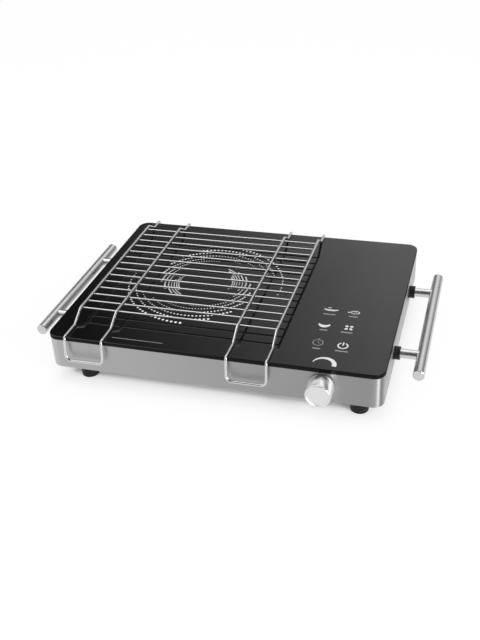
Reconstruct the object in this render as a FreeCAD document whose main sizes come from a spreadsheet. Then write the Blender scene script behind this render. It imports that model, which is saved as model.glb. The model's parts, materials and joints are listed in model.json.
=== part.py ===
import FreeCAD, Part
import math
import os
import re
import Sketcher

# Infrared cooktop for one pot, with a touch panel, a rotary knob and a wire grill rack.
# Millimetres. X runs across, the user stands at -Y, and Z is up from the worktop.
# The origin lies on the worktop, under the middle of the overall box.

SIZES = {
    # Glass plate and the black seal under its rim
    "glass_width": 360.0,
    "glass_depth": 280.0,
    "glass_height": 4.0,
    "glass_corner": 12.0,
    "glass_bevel": 0.6,
    "seal_height": 0.8,
    "seal_width": 9.0,
    "seal_inset": 0.3,
    # Steel housing
    "shell_inset": 0.4,
    "wall_height": 34.2,
    "sheet_metal": 1.0,
    "flange_width": 10.0,
    "tab_width": 20.0,
    "tab_reach": 12.0,
    "rear_slot_length": 16.0,
    "rear_slot_pitch": 7.0,
    "rear_slot_count": 9,
    "slot_width": 3.0,
    # Bottom cover
    "cover_clearance": 0.3,
    "cover_slot_length": 34.0,
    "cover_slot_pitch": 9.0,
    "cover_slot_count": 12,
    "intake_slot_length": 12.0,
    "intake_slot_radius": 19.0,
    "intake_slot_count": 16,
    "cover_screw": 3.0,
    "cover_screw_head": 6.0,
    "cover_screw_head_height": 1.8,
    "cover_screw_length": 6.0,
    # Feet
    "foot_height": 16.0,
    "foot_top": 20.4,
    "foot_bottom": 18.8,
    "foot_round": 2.4,
    "foot_taper": 0.5,
    "foot_recess": 9.0,
    "foot_recess_depth": 6.0,
    "foot_left_setback": 37.2,
    "foot_right_setback": 25.9,
    "foot_setback": 16.5,
    "foot_screw": 4.0,
    "foot_screw_head": 7.6,
    "foot_screw_head_height": 2.6,
    "foot_screw_length": 15.5,
    "foot_nut": 7.0,
    "foot_nut_height": 3.2,
    # Handles
    "bar_diameter": 12.0,
    "bar_wall": 1.0,
    "bar_length": 202.0,
    "bar_offset": 29.1,
    "bar_drop": 22.1,
    "cap_height": 1.4,
    "cap_plug": 6.0,
    "leg_diameter": 10.0,
    "leg_spacing": 128.0,
    "spacer_diameter": 14.2,
    "spacer_length": 6.4,
    "handle_screw": 4.0,
    "handle_screw_head": 8.0,
    "handle_screw_head_height": 2.4,
    "handle_screw_length": 17.4,
    # Grill rack
    "rack_wire": 3.0,
    "rack_bar": 2.0,
    "rack_width": 220.0,
    "rack_pair": 42.0,
    "rack_margin": 23.4,
    "rack_rise": 12.0,
    "rack_front_knee": 24.0,
    "rack_front_top": 42.0,
    "rack_rear_top": 34.0,
    "rack_rear_knee": 17.0,
    "rack_bend": 6.0,
    "rack_seat": 0.2,
    "hook_gap": 3.0,
    "hook_lean": 3.5,
    "hook_drop": 24.5,
    "hook_bend": 4.0,
    "hook_corner": 6.0,
    "cross_count": 14,
    "cross_margin": 4.5,
    "weld_gap": 0.04,
    # Knob and encoder
    "knob_diameter": 26.0,
    "knob_length": 20.0,
    "knob_gap": 1.2,
    "knob_setback": 61.5,
    "knob_drop": 18.6,
    "knob_rim": 1.8,
    "knob_face_depth": 0.6,
    "knob_round": 1.2,
    "knob_recess": 17.0,
    "knob_recess_depth": 6.0,
    "knob_front_wall": 3.0,
    "shaft_diameter": 6.0,
    "shaft_flat": 1.5,
    "bushing_diameter": 9.0,
    "bushing_reach": 5.0,
    "encoder_width": 13.0,
    "encoder_length": 7.0,
    "encoder_nut": 12.0,
    "encoder_nut_height": 2.0,
    "encoder_board_width": 30.0,
    "encoder_board_height": 22.0,
    # Radiant heater
    "heater_setback": 226.0,
    "dish_diameter": 186.0,
    "dish_height": 20.0,
    "dish_wall": 0.8,
    "ring_stand": 2.5,
    "ring_width": 11.0,
    "base_height": 11.0,
    "ribbon_height": 5.0,
    "ribbon_thickness": 0.8,
    "ribbon_pitch": 9.0,
    "ribbon_start": 14.0,
    "ribbon_half_turns": 12,
    "rod_diameter": 4.5,
    "rod_drop": 3.2,
    "rod_end": 4.0,
    "switch_length": 16.0,
    "switch_width": 24.0,
    "switch_height": 15.0,
    "spring_sheet": 0.8,
    "spring_width": 16.0,
    "spring_foot": 14.0,
    "spring_slope": 12.0,
    "spring_radius": 40.0,
    "spring_count": 3,
    # Touch panel
    "panel_side_setback": 62.0,
    "panel_setback": 78.0,
    "key_pitch_across": 26.0,
    "key_pitch_deep": 32.4,
    "touch_board_width": 62.0,
    "touch_board_depth": 100.0,
    "carrier_height": 10.0,
    "carrier_wall": 2.0,
    "carrier_ledge": 2.0,
    "contact_diameter": 8.0,
    # Power board and what stands on it
    "board_thickness": 1.6,
    "board_setback": 58.0,
    "board_y": -2.0,
    "board_width": 88.0,
    "board_depth": 84.0,
    "post_height": 8.0,
    "post_diameter": 7.0,
    "post_inset": 5.0,
    "board_screw": 3.0,
    "board_screw_head": 5.6,
    "board_screw_head_height": 1.8,
    "board_screw_length": 6.5,
    "relay_width": 19.0,
    "relay_depth": 16.0,
    "relay_height": 12.0,
    "transformer_width": 32.0,
    "transformer_depth": 20.0,
    "transformer_height": 13.5,
    "transformer_shift": 14.0,
    "core_thickness": 8.0,
    "capacitor_diameter": 10.0,
    "capacitor_height": 12.0,
    "heatsink_width": 26.0,
    "heatsink_depth": 44.0,
    "heatsink_height": 13.5,
    "fin_gap": 3.0,
    "fin_pitch": 4.6,
    "fin_count": 5,
    "fin_depth": 10.5,
    "plug_block_width": 26.0,
    "plug_block_depth": 8.0,
    "plug_block_height": 9.0,
    "plug_pitch": 7.2,
    # Fan
    "fan_side": 60.0,
    "fan_height": 15.0,
    "fan_corner": 4.0,
    "fan_bore": 57.0,
    "fan_setback": 54.0,
    "fan_side_setback": 40.0,
    "fan_hole_spacing": 50.0,
    "fan_screw": 3.6,
    "fan_screw_head": 7.0,
    "fan_screw_head_height": 2.2,
    "seat_diameter": 26.0,
    "seat_height": 1.6,
    "strut_width": 3.0,
    "sleeve_diameter": 6.0,
    "sleeve_height": 9.0,
    "rotor_axle": 3.0,
    "running_gap": 0.05,
    "stator_diameter": 21.0,
    "stator_height": 7.0,
    "hub_diameter": 26.0,
    "hub_wall": 1.4,
    "hub_height": 10.0,
    "rotor_lift": 0.8,
    "blade_tip": 27.3,
    "blade_thickness": 1.1,
    "blade_root_rise": 8.0,
    "blade_root_run": 6.0,
    "blade_tip_rise": 5.0,
    "blade_tip_run": 10.0,
    "blade_count": 7,
    # Cord gland, terminal block and inner leads
    "gland_clearance": 28.6,
    "gland_rise": 18.0,
    "gland_bore": 7.5,
    "gland_neck": 12.0,
    "gland_flange": 2.0,
    "gland_flange_diameter": 18.0,
    "gland_snout": 14.0,
    "gland_snout_root": 14.0,
    "gland_snout_tip": 11.0,
    "gland_tail": 1.0,
    "gland_nut": 17.0,
    "gland_nut_height": 4.0,
    "terminal_width": 30.0,
    "terminal_depth": 15.0,
    "terminal_height": 14.0,
    "terminal_setback": 32.0,
    "terminal_clearance": 3.0,
    "terminal_pitch": 9.0,
    "terminal_hole": 4.0,
    "lead_diameter": 2.0,
    "lead_run": 7.0,
    # Clearances that the fits share
    "bolt_clearance": 0.3,
    "thread_clearance": 0.05,
    "board_clearance": 0.2,
}

# Places that follow from the sizes. Distances from the middle of the glass plate are positive.
PLACES = {
    "cover_top": "foot_height + sheet_metal",
    "wall_top": "foot_height + wall_height",
    "glass_underside": "wall_top + seal_height",
    "glass_top": "glass_underside + glass_height",
    "shell_width": "glass_width - 2 * shell_inset",
    "shell_depth": "glass_depth - 2 * shell_inset",
    "shell_corner": "glass_corner - shell_inset",
    "side_face": "shell_width / 2",
    "end_face": "shell_depth / 2",
    "plate_y": "(knob_gap + knob_length - gland_flange - gland_snout) / 2",
    "knob_x": "glass_width / 2 - knob_setback",
    "knob_z": "glass_top - knob_drop",
    "bar_z": "glass_top - bar_drop",
    "foot_left": "foot_left_setback - glass_width / 2",
    "foot_right": "glass_width / 2 - foot_right_setback",
    "foot_y": "glass_depth / 2 - foot_setback",
    "tab_spread": "glass_width / 3",
    "tab_y": "end_face - sheet_metal - tab_reach / 2",
    "tab_x": "side_face - sheet_metal - tab_reach / 2",
    "heater_x": "glass_width / 2 - heater_setback",
    "dish_bottom": "glass_underside - ring_stand - dish_height",
    "base_top": "dish_bottom + dish_wall + base_height",
    "panel_x": "glass_width / 2 - panel_side_setback",
    "panel_y": "panel_setback - glass_depth / 2",
    "touch_board_z": "glass_underside - carrier_height",
    "board_x": "glass_width / 2 - board_setback",
    "board_z": "cover_top + post_height",
    "board_top": "board_z + board_thickness",
    "fan_x": "glass_width / 2 - fan_side_setback",
    "fan_y": "glass_depth / 2 - fan_setback",
    "rotor_z": "cover_top + seat_height + sleeve_height + hub_wall + rotor_lift - hub_height",
    "gland_x": "rack_x + rack_width / 2 + gland_clearance",
    "terminal_x": "fan_x - (fan_side + terminal_width) / 2 - terminal_clearance",
    "terminal_y": "glass_depth / 2 - terminal_setback - terminal_depth / 2",
    "relay_x": "board_x - board_width / 2 + relay_width / 2 + 2 * post_inset",
    "heatsink_x": "board_x + board_width / 2 - heatsink_width / 2 - 2 * post_inset",
    "heatsink_y": "board_y + board_depth / 2 - heatsink_depth / 2 - post_inset / 2",
    "transformer_y": "plug_block_y - (plug_block_depth + transformer_depth) / 2 - post_inset / 2",
    "plug_block_x": "relay_x + (plug_block_width - relay_width) / 2",
    "plug_block_y": "board_y + board_depth / 2 - plug_block_depth / 2",
    "rack_x": "rack_margin + rack_width / 2 - glass_width / 2",
    "rack_axis_z": "glass_top + rack_rise",
    "rack_glass_z": "glass_top + rack_wire / 2 + rack_seat",
    "cross_z": "rack_axis_z - (rack_wire + rack_bar) / 2 - weld_gap",
    "cross_run": "glass_depth - rack_front_top - rack_rear_top - 2 * cross_margin",
    "cross_y": "rack_front_top + cross_margin - glass_depth / 2",
}

WORD = re.compile(r"[a-z][a-z_]+")

doc = FreeCAD.newDocument("infrared_cooktop")
sheet = doc.addObject("Spreadsheet::Sheet", "Sizes")
for row, (name, number) in enumerate(SIZES.items(), start=1):
    sheet.set(f"A{row}", name)
    sheet.set(f"B{row}", str(number))
    sheet.setAlias(f"B{row}", name)
doc.recompute()

parts = []


def spelled(text):
    """Write each place out in plain sizes."""
    longer = WORD.sub(lambda word: f"({PLACES[word[0]]})" if word[0] in PLACES else word[0], text)
    return text if longer == text else spelled(longer)


def formula(text):
    """The text as a formula on the sheet's cells."""
    return WORD.sub(lambda word: f"Sizes.{word[0]}", spelled(text))


def value(text):
    """The text worked out with the sheet's numbers."""
    numbers = WORD.sub(lambda word: f"({float(sheet.get(word[0]))})", spelled(text))
    return FreeCAD.Units.Quantity(numbers).Value


def vector(x, y, z):
    return FreeCAD.Vector(value(x), value(y), value(z))


def bind(thing, **properties):
    """Tie properties such as Length or Radius to formulas."""
    for name, text in properties.items():
        thing.setExpression(name, formula(text))


def place(thing, x="0", y="0", z="0", axis=None, angle=0.0):
    """Seat a piece by its distance from the middle of the glass plate and its height."""
    if axis:
        turn = FreeCAD.Rotation(FreeCAD.Vector(*axis), angle)
        thing.Placement = FreeCAD.Placement(FreeCAD.Vector(), turn)
    thing.setExpression("Placement.Base.x", formula(x))
    thing.setExpression("Placement.Base.y", formula(f"plate_y + {y}"))
    thing.setExpression("Placement.Base.z", formula(z))


# The knob, the encoder and the gland are turned on their own Z axis and then laid along Y.
FACING_USER = {"axis": (1, 0, 0), "angle": 90.0}
FACING_REAR = {"axis": (1, 0, 0), "angle": -90.0}


def new_body(label):
    body = doc.addObject("PartDesign::Body", label)
    body.Label = label
    parts.append(body)
    return body


def origin_feature(body, role):
    return next(item for item in body.Origin.OriginFeatures if item.Role == role)


def new_sketch(body, name, plane="XY_Plane", lift="0", across="0", deep="0"):
    """A sketch on one of the body's own planes, lifted along the normal and shifted in the plane."""
    sketch = body.newObject("Sketcher::SketchObject", f"{body.Label}_{name}")
    sketch.AttachmentSupport = (origin_feature(body, plane), "")
    sketch.MapMode = "FlatFace"
    for axis, text in (("x", across), ("y", deep), ("z", lift)):
        sketch.setExpression(f"AttachmentOffset.Base.{axis}", formula(text))
    return sketch


def tie(sketch, kind, text, *where):
    """A dimension in a sketch, tied to a formula."""
    index = sketch.addConstraint(Sketcher.Constraint(kind, *where, value(text)))
    sketch.setExpression(f"Constraints[{index}]", formula(text))


def tie_point(sketch, edge, end, x, y):
    tie(sketch, "DistanceX", x, -1, 1, edge, end)
    tie(sketch, "DistanceY", y, -1, 1, edge, end)


def outline(sketch, corners):
    """A closed outline of straight edges through corners given as pairs of formulas."""
    first = sketch.GeometryCount
    points = [vector(x, y, "0") for x, y in corners]
    count = len(points)
    for index in range(count):
        line = Part.LineSegment(points[index], points[(index + 1) % count])
        sketch.addGeometry(line, False)
    for index in range(count):
        follower = first + (index + 1) % count
        sketch.addConstraint(Sketcher.Constraint("Coincident", first + index, 2, follower, 1))
    for index, (x, y) in enumerate(corners):
        tie_point(sketch, first + index, 1, x, y)


def rectangle(sketch, width, depth, x="0", y="0"):
    left, right = f"{x} - ({width}) / 2", f"{x} + ({width}) / 2"
    near, far = f"{y} - ({depth}) / 2", f"{y} + ({depth}) / 2"
    outline(sketch, [(left, near), (right, near), (right, far), (left, far)])


def circle(sketch, diameter, x="0", y="0"):
    ring = Part.Circle(vector(x, y, "0"), FreeCAD.Vector(0, 0, 1), value(diameter) / 2)
    index = sketch.addGeometry(ring, False)
    tie(sketch, "Diameter", diameter, index)
    tie_point(sketch, index, 3, x, y)


def rounded_loop(sketch, centres, radius, sweep, start=-math.pi / 2):
    """Equal corner arcs about the centres, given in turn order, joined by tangent lines."""
    count = len(centres)
    reach = value(radius)
    arcs, ends = [], []
    for index, (x, y) in enumerate(centres):
        first = start + index * sweep
        centre = vector(x, y, "0")
        ring = Part.Circle(centre, FreeCAD.Vector(0, 0, 1), reach)
        arcs.append(sketch.addGeometry(Part.ArcOfCircle(ring, first, first + sweep), False))
        ends.append([centre + FreeCAD.Vector(math.cos(turn), math.sin(turn), 0) * reach
                     for turn in (first, first + sweep)])
    for index in range(count):
        after = (index + 1) % count
        line = sketch.addGeometry(Part.LineSegment(ends[index][1], ends[after][0]), False)
        sketch.addConstraint(Sketcher.Constraint("Tangent", arcs[index], 2, line, 1))
        sketch.addConstraint(Sketcher.Constraint("Tangent", line, 2, arcs[after], 1))
    tie(sketch, "Radius", radius, arcs[0])
    for other in arcs[1:]:
        sketch.addConstraint(Sketcher.Constraint("Equal", arcs[0], other))
    for arc, (x, y) in zip(arcs, centres):
        tie_point(sketch, arc, 3, x, y)


def rounded_rectangle(sketch, width, depth, radius):
    across, deep = f"({width}) / 2 - ({radius})", f"({depth}) / 2 - ({radius})"
    back_across, back_deep = f"({radius}) - ({width}) / 2", f"({radius}) - ({depth}) / 2"
    centres = [(across, back_deep), (across, deep), (back_across, deep), (back_across, back_deep)]
    rounded_loop(sketch, centres, radius, math.pi / 2)


def slot(sketch, length, x, y, upright=False):
    """A round-ended slot, long across the sketch or stood upright."""
    half = f"({length} - slot_width) / 2"
    if upright:
        rounded_loop(sketch, [(x, f"{y} + {half}"), (x, f"{y} - {half}")], "slot_width / 2", math.pi, 0.0)
    else:
        rounded_loop(sketch, [(f"{x} + {half}", y), (f"{x} - {half}", y)], "slot_width / 2", math.pi)


def pad(body, sketch, length, reverse=False, midplane=False):
    feature = body.newObject("PartDesign::Pad", f"{sketch.Name}_pad")
    feature.Profile = sketch
    feature.Reversed = reverse
    feature.Midplane = midplane
    bind(feature, Length=length)
    body.Tip = feature
    return feature


def pocket(body, sketch, length=None, reverse=False, midplane=False):
    """A cut against the sketch's normal, or along it when reversed. No length: right through."""
    feature = body.newObject("PartDesign::Pocket", f"{sketch.Name}_cut")
    feature.Profile = sketch
    feature.Reversed = reverse
    feature.Midplane = midplane
    if length is None:
        feature.Type = "ThroughAll"
    else:
        bind(feature, Length=length)
    body.Tip = feature
    return feature


def revolve(body, name, corners):
    """A turned solid about the body's Z axis, from corners given as (radius, height)."""
    sketch = new_sketch(body, name, "XZ_Plane")
    outline(sketch, corners)
    feature = body.newObject("PartDesign::Revolution", f"{sketch.Name}_turn")
    feature.Profile = sketch
    feature.ReferenceAxis = (sketch, ["V_Axis"])
    feature.Angle = 360.0
    body.Tip = feature
    return feature


def line_up(body, feature, role, length, count):
    """Copies in a row along one of the body's axes."""
    row = body.newObject("PartDesign::LinearPattern", f"{feature.Name}_row")
    row.Originals = [feature]
    row.Direction = (origin_feature(body, role), [""])
    bind(row, Length=length, Occurrences=count)
    body.Tip = row
    return row


def ring_up(body, feature, count, about=None):
    """Copies in a circle about the body's Z axis, or about the middle of a shifted sketch."""
    ring = body.newObject("PartDesign::PolarPattern", f"{feature.Name}_ring")
    ring.Originals = [feature]
    ring.Axis = (about, ["N_Axis"]) if about else (origin_feature(body, "Z_Axis"), [""])
    ring.Angle = 360.0
    bind(ring, Occurrences=count)
    body.Tip = ring
    return ring


def dress(body, kind, base, chosen, **properties):
    """A fillet or chamfer on the edges of the base for which chosen says yes."""
    doc.recompute()
    names = [f"Edge{index}" for index, edge in enumerate(base.Shape.Edges, start=1) if chosen(edge)]
    feature = body.newObject(f"PartDesign::{kind}", f"{base.Name}_{kind.lower()}")
    feature.Base = (base, names)
    bind(feature, **properties)
    body.Tip = feature
    return feature


def at_height(level):
    """Chooser for edges that lie flat at one height of the body's own frame."""
    def chosen(edge):
        box = edge.BoundBox
        return abs(box.ZMin - value(level)) < 0.001 and abs(box.ZMax - value(level)) < 0.001
    return chosen


def round_edge(radius, level):
    """Chooser for a circular edge of one radius at one height."""
    flat = at_height(level)

    def chosen(edge):
        is_ring = isinstance(edge.Curve, Part.Circle)
        return is_ring and flat(edge) and abs(edge.Curve.Radius - value(radius)) < 0.001
    return chosen


def screws(label, spots, shank, shank_length, head, head_height, tip_up=True):
    """Pan-head screws as separate solids. Each spot is where the head meets its seat."""
    body = new_body(label)
    head_sketch = new_sketch(body, "heads")
    shank_sketch = new_sketch(body, "shanks")
    for x, y in spots:
        circle(head_sketch, head, x, y)
        circle(shank_sketch, shank, x, y)
    heads = pad(body, head_sketch, head_height, reverse=tip_up)
    outer = f"0 - {head_height}" if tip_up else head_height
    dress(body, "Chamfer", heads, at_height(outer), Size=f"{head_height} / 3")
    pad(body, shank_sketch, shank_length, reverse=not tip_up)
    return body


def glass_plate():
    """Black glass-ceramic plate with a fine bevel round its upper rim."""
    body = new_body("glass_plate")
    sketch = new_sketch(body, "rim")
    rounded_rectangle(sketch, "glass_width", "glass_depth", "glass_corner")
    slab = pad(body, sketch, "glass_height")
    dress(body, "Chamfer", slab, at_height("glass_height"), Size="glass_bevel")
    place(body, z="glass_underside")


def glass_seal():
    """Black silicone frame that the glass is bedded on."""
    body = new_body("glass_seal")
    sketch = new_sketch(body, "frame")
    width, depth = "glass_width - 2 * seal_inset", "glass_depth - 2 * seal_inset"
    rounded_rectangle(sketch, width, depth, "glass_corner - seal_inset")
    inner_width, inner_depth = f"{width} - 2 * seal_width", f"{depth} - 2 * seal_width"
    rounded_rectangle(sketch, inner_width, inner_depth, "glass_corner - seal_inset - seal_width")
    pad(body, sketch, "seal_height")
    place(body, z="wall_top")


def cover_screw_spots():
    """Six screws: two at the front, two at the rear and one at each side."""
    spots = [(x, y) for y in ("0 - tab_y", "tab_y") for x in ("0 - tab_spread", "tab_spread")]
    return spots + [("0 - tab_x", "0"), ("tab_x", "0")]


def handle_spots():
    """The two legs of a handle, as places along Y and heights above the housing's lower edge."""
    height = "bar_z - foot_height"
    return [("0 - leg_spacing / 2", height), ("leg_spacing / 2", height)]


def housing():
    """Brushed-steel shell, open below, with a flange under the glass and tabs for the cover."""
    body = new_body("housing")
    outer = new_sketch(body, "walls")
    rounded_rectangle(outer, "shell_width", "shell_depth", "shell_corner")
    pad(body, outer, "wall_height")
    inner = new_sketch(body, "inside", lift="wall_height - sheet_metal")
    inner_width, inner_depth = "shell_width - 2 * sheet_metal", "shell_depth - 2 * sheet_metal"
    rounded_rectangle(inner, inner_width, inner_depth, "shell_corner - sheet_metal")
    pocket(body, inner, "wall_height - sheet_metal")
    opening = new_sketch(body, "opening", lift="wall_height")
    rectangle(opening, f"{inner_width} - 2 * flange_width", f"{inner_depth} - 2 * flange_width")
    pocket(body, opening, "2 * sheet_metal")
    tabs = new_sketch(body, "tabs", lift="sheet_metal")
    lapped = "tab_reach + sheet_metal"
    for x, y in cover_screw_spots()[:4]:
        rectangle(tabs, "tab_width", lapped, x, f"{y} {'-' if y.startswith('0') else '+'} sheet_metal / 2")
    for x, y in cover_screw_spots()[4:]:
        rectangle(tabs, lapped, "tab_width", f"{x} {'-' if x.startswith('0') else '+'} sheet_metal / 2", y)
    pad(body, tabs, "sheet_metal")
    holes = new_sketch(body, "tab_holes", lift="2 * sheet_metal")
    for x, y in cover_screw_spots():
        circle(holes, "cover_screw + 2 * thread_clearance", x, y)
    pocket(body, holes, "2 * sheet_metal")
    for side, lift in (("left", "0 - side_face"), ("right", "side_face")):
        sides = new_sketch(body, f"{side}_handle_holes", "YZ_Plane", lift)
        for y, z in handle_spots():
            circle(sides, "handle_screw + bolt_clearance", y, z)
        pocket(body, sides, "2 * sheet_metal", reverse=side == "left")
    front = new_sketch(body, "knob_hole", "XZ_Plane", "end_face")
    circle(front, "bushing_diameter + bolt_clearance", "knob_x", "knob_z - foot_height")
    pocket(body, front, "2 * sheet_metal")
    rear = new_sketch(body, "gland_hole", "XZ_Plane", "0 - end_face")
    circle(rear, "gland_neck + bolt_clearance", "gland_x", "gland_rise")
    pocket(body, rear, "2 * sheet_metal", reverse=True)
    vent = new_sketch(body, "vent", "XZ_Plane", "0 - end_face")
    first = "fan_x - (rear_slot_count - 1) * rear_slot_pitch / 2"
    slot(vent, "rear_slot_length", first, "wall_height / 2", upright=True)
    cut = pocket(body, vent, "2 * sheet_metal", reverse=True)
    line_up(body, cut, "X_Axis", "(rear_slot_count - 1) * rear_slot_pitch", "rear_slot_count")
    place(body, z="foot_height")


FEET = {
    "foot_front_left": ("foot_left", "0 - foot_y"),
    "foot_front_right": ("foot_right", "0 - foot_y"),
    "foot_rear_left": ("foot_left", "foot_y"),
    "foot_rear_right": ("foot_right", "foot_y"),
}


def corner_spots(x, y, across, deep):
    """Four spots at the corners of a rectangle about one point."""
    return [(f"{x} {a} ({across}) / 2", f"{y} {b} ({deep}) / 2") for b in "-+" for a in "-+"]


def bottom_cover():
    """Steel sheet that closes the housing from below, with air slots."""
    body = new_body("bottom_cover")
    sketch = new_sketch(body, "sheet")
    gap = "2 * (sheet_metal + cover_clearance)"
    corner = "shell_corner - sheet_metal - cover_clearance"
    rounded_rectangle(sketch, f"shell_width - {gap}", f"shell_depth - {gap}", corner)
    pad(body, sketch, "sheet_metal")
    holes = new_sketch(body, "holes", lift="sheet_metal")
    for x, y in cover_screw_spots():
        circle(holes, "cover_screw + bolt_clearance", x, y)
    for x, y in FEET.values():
        circle(holes, "foot_screw + bolt_clearance", x, y)
    for x, y in corner_spots("fan_x", "fan_y", "fan_hole_spacing", "fan_hole_spacing"):
        circle(holes, "fan_screw + 2 * thread_clearance", x, y)
    pocket(body, holes, "2 * sheet_metal")
    for side in "-+":
        vent = new_sketch(body, f"vent_{'rear' if side == '+' else 'front'}", lift="sheet_metal")
        first = "heater_x - (cover_slot_count - 1) * cover_slot_pitch / 2"
        slot(vent, "cover_slot_length", first, f"0 {side} glass_depth / 4", upright=True)
        cut = pocket(body, vent, "2 * sheet_metal")
        line_up(body, cut, "X_Axis", "(cover_slot_count - 1) * cover_slot_pitch", "cover_slot_count")
    intake = new_sketch(body, "intake", lift="sheet_metal", across="fan_x", deep="fan_y")
    slot(intake, "intake_slot_length", "intake_slot_radius", "0")
    ring_up(body, pocket(body, intake, "2 * sheet_metal"), "intake_slot_count", intake)
    place(body, z="foot_height")


def feet():
    """Black tapered feet, each bored and recessed for its screw."""
    for label, (x, y) in FEET.items():
        body = new_body(label)
        bore = "(foot_screw + bolt_clearance) / 2"
        turned = revolve(body, "profile", [
            ("foot_recess / 2", "0"),
            ("foot_bottom / 2", "0"),
            ("foot_top / 2 - foot_taper", "foot_height - foot_round"),
            ("foot_top / 2", "foot_height"),
            (bore, "foot_height"),
            (bore, "foot_recess_depth"),
            ("foot_recess / 2", "foot_recess_depth"),
        ])
        dress(body, "Fillet", turned, round_edge("foot_bottom / 2", "0"), Radius="foot_round / 2")
        place(body, x, y)


def foot_fixings():
    spots = list(FEET.values())
    body = screws("foot_screws", spots, "foot_screw", "foot_screw_length",
                  "foot_screw_head", "foot_screw_head_height")
    place(body, z="foot_recess_depth")
    nuts = new_body("foot_nuts")
    sketch = new_sketch(nuts, "hexagons")
    for x, y in spots:
        hexagon(sketch, "foot_nut", x, y)
        circle(sketch, "foot_screw + 2 * thread_clearance", x, y)
    pad(nuts, sketch, "foot_nut_height")
    place(nuts, z="cover_top")


def hexagon(sketch, across_flats, x="0", y="0"):
    """A hexagon with two flats square to the sketch's horizontal axis."""
    half_flat = f"({across_flats}) / 2"
    half_side = f"({across_flats}) * {math.tan(math.pi / 6) / 2:.6f}"
    point = f"({across_flats}) * {1 / math.cos(math.pi / 6) / 2:.6f}"
    outline(sketch, [
        (f"{x} + {half_flat}", f"{y} - {half_side}"),
        (f"{x} + {half_flat}", f"{y} + {half_side}"),
        (x, f"{y} + {point}"),
        (f"{x} - {half_flat}", f"{y} + {half_side}"),
        (f"{x} - {half_flat}", f"{y} - {half_side}"),
        (x, f"{y} - {point}"),
    ])


def cover_screws():
    body = screws("cover_screws", cover_screw_spots(), "cover_screw", "cover_screw_length",
                  "cover_screw_head", "cover_screw_head_height")
    place(body, z="foot_height")


def handles():
    """T-bar handles. Each side is drawn for the right and turned half round for the left."""
    for side, sign, angle, screw_axis in (
        ("left", "0 -", 180.0, (1, -1, -1)),
        ("right", "0 +", 0.0, (1, 1, 1)),
    ):
        face = {"x": f"{sign} side_face", "z": "bar_z", "axis": (0, 0, 1), "angle": angle}
        legs = [("0 - leg_spacing / 2", "0"), ("leg_spacing / 2", "0")]

        bar = new_body(f"handle_bar_{side}")
        ring = new_sketch(bar, "tube")
        circle(ring, "bar_diameter")
        circle(ring, "bar_diameter - 2 * bar_wall")
        pad(bar, ring, "bar_length - 2 * cap_height", midplane=True)
        place(bar, f"{sign} (side_face + bar_offset)", z="bar_z", **FACING_REAR)

        caps = new_body(f"bar_caps_{side}")
        half = "bar_length / 2"
        bore = "bar_diameter / 2 - bar_wall - thread_clearance"
        turned = revolve(caps, "profile", [
            ("0", half),
            ("bar_diameter / 2", half),
            ("bar_diameter / 2", f"{half} - cap_height"),
            (bore, f"{half} - cap_height"),
            (bore, f"{half} - cap_height - cap_plug"),
            ("0", f"{half} - cap_height - cap_plug"),
        ])
        rim = dress(caps, "Chamfer", turned, round_edge("bar_diameter / 2", half), Size="cap_height / 3")
        twin = caps.newObject("PartDesign::Mirrored", f"bar_caps_{side}_twin")
        twin.Originals = [turned, rim]
        twin.MirrorPlane = (origin_feature(caps, "XY_Plane"), [""])
        caps.Tip = twin
        place(caps, f"{sign} (side_face + bar_offset)", z="bar_z", **FACING_REAR)

        spacer = new_body(f"handle_spacers_{side}")
        rings = new_sketch(spacer, "rings", "YZ_Plane")
        for y, z in legs:
            circle(rings, "spacer_diameter", y, z)
            circle(rings, "handle_screw + bolt_clearance", y, z)
        pad(spacer, rings, "spacer_length")
        place(spacer, **face)

        leg = new_body(f"handle_legs_{side}")
        discs = new_sketch(leg, "discs", "YZ_Plane", "spacer_length")
        bores = new_sketch(leg, "bores", "YZ_Plane", "spacer_length")
        for y, z in legs:
            circle(discs, "leg_diameter", y, z)
            circle(bores, "handle_screw + 2 * thread_clearance", y, z)
        pad(leg, discs, "bar_offset - spacer_length")
        saddle = new_sketch(leg, "saddle", "XZ_Plane")
        circle(saddle, "bar_diameter + 2 * thread_clearance", "bar_offset", "0")
        pocket(leg, saddle, midplane=True)
        depth = "handle_screw_length - sheet_metal - spacer_length + bolt_clearance"
        pocket(leg, bores, depth, reverse=True)
        place(leg, **face)

        bolts = screws(f"handle_screws_{side}", legs, "handle_screw", "handle_screw_length",
                       "handle_screw_head", "handle_screw_head_height")
        # A third of a turn about a space diagonal lays the upright screws outwards along X.
        place(bolts, f"{sign} (side_face - sheet_metal)", z="bar_z", axis=screw_axis, angle=120.0)


def tangent_path(corners, radii):
    """Straight runs between the corners, joined by tangent arcs of the radii."""
    edges = []
    start = corners[0]
    for before, corner, after, radius in zip(corners, corners[1:], corners[2:], radii):
        back = (before - corner).normalize()
        ahead = (after - corner).normalize()
        half_angle = back.getAngle(ahead) / 2
        setback = radius / math.tan(half_angle)
        middle = (back + ahead).normalize() * (radius / math.sin(half_angle) - radius)
        entry, leave = corner + back * setback, corner + ahead * setback
        edges.append(Part.LineSegment(start, entry).toShape())
        edges.append(Part.Arc(entry, corner + middle, leave).toShape())
        start = leave
    edges.append(Part.LineSegment(start, corners[-1]).toShape())
    return Part.Wire(edges)


def tube_along(path, diameter):
    """A round wire along a path that starts on its first straight run."""
    first = path.Edges[0]
    start = first.valueAt(first.FirstParameter)
    heading = first.tangentAt(first.FirstParameter)
    section = Part.Wire(Part.Circle(start, heading, diameter / 2).toShape())
    solid = path.makePipeShell([section], True, False)
    expected = math.pi * diameter ** 2 / 4 * path.Length
    print(f"wire of {path.Length:.1f} mm, volume {solid.Volume:.1f} against {expected:.1f}")
    return solid


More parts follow.
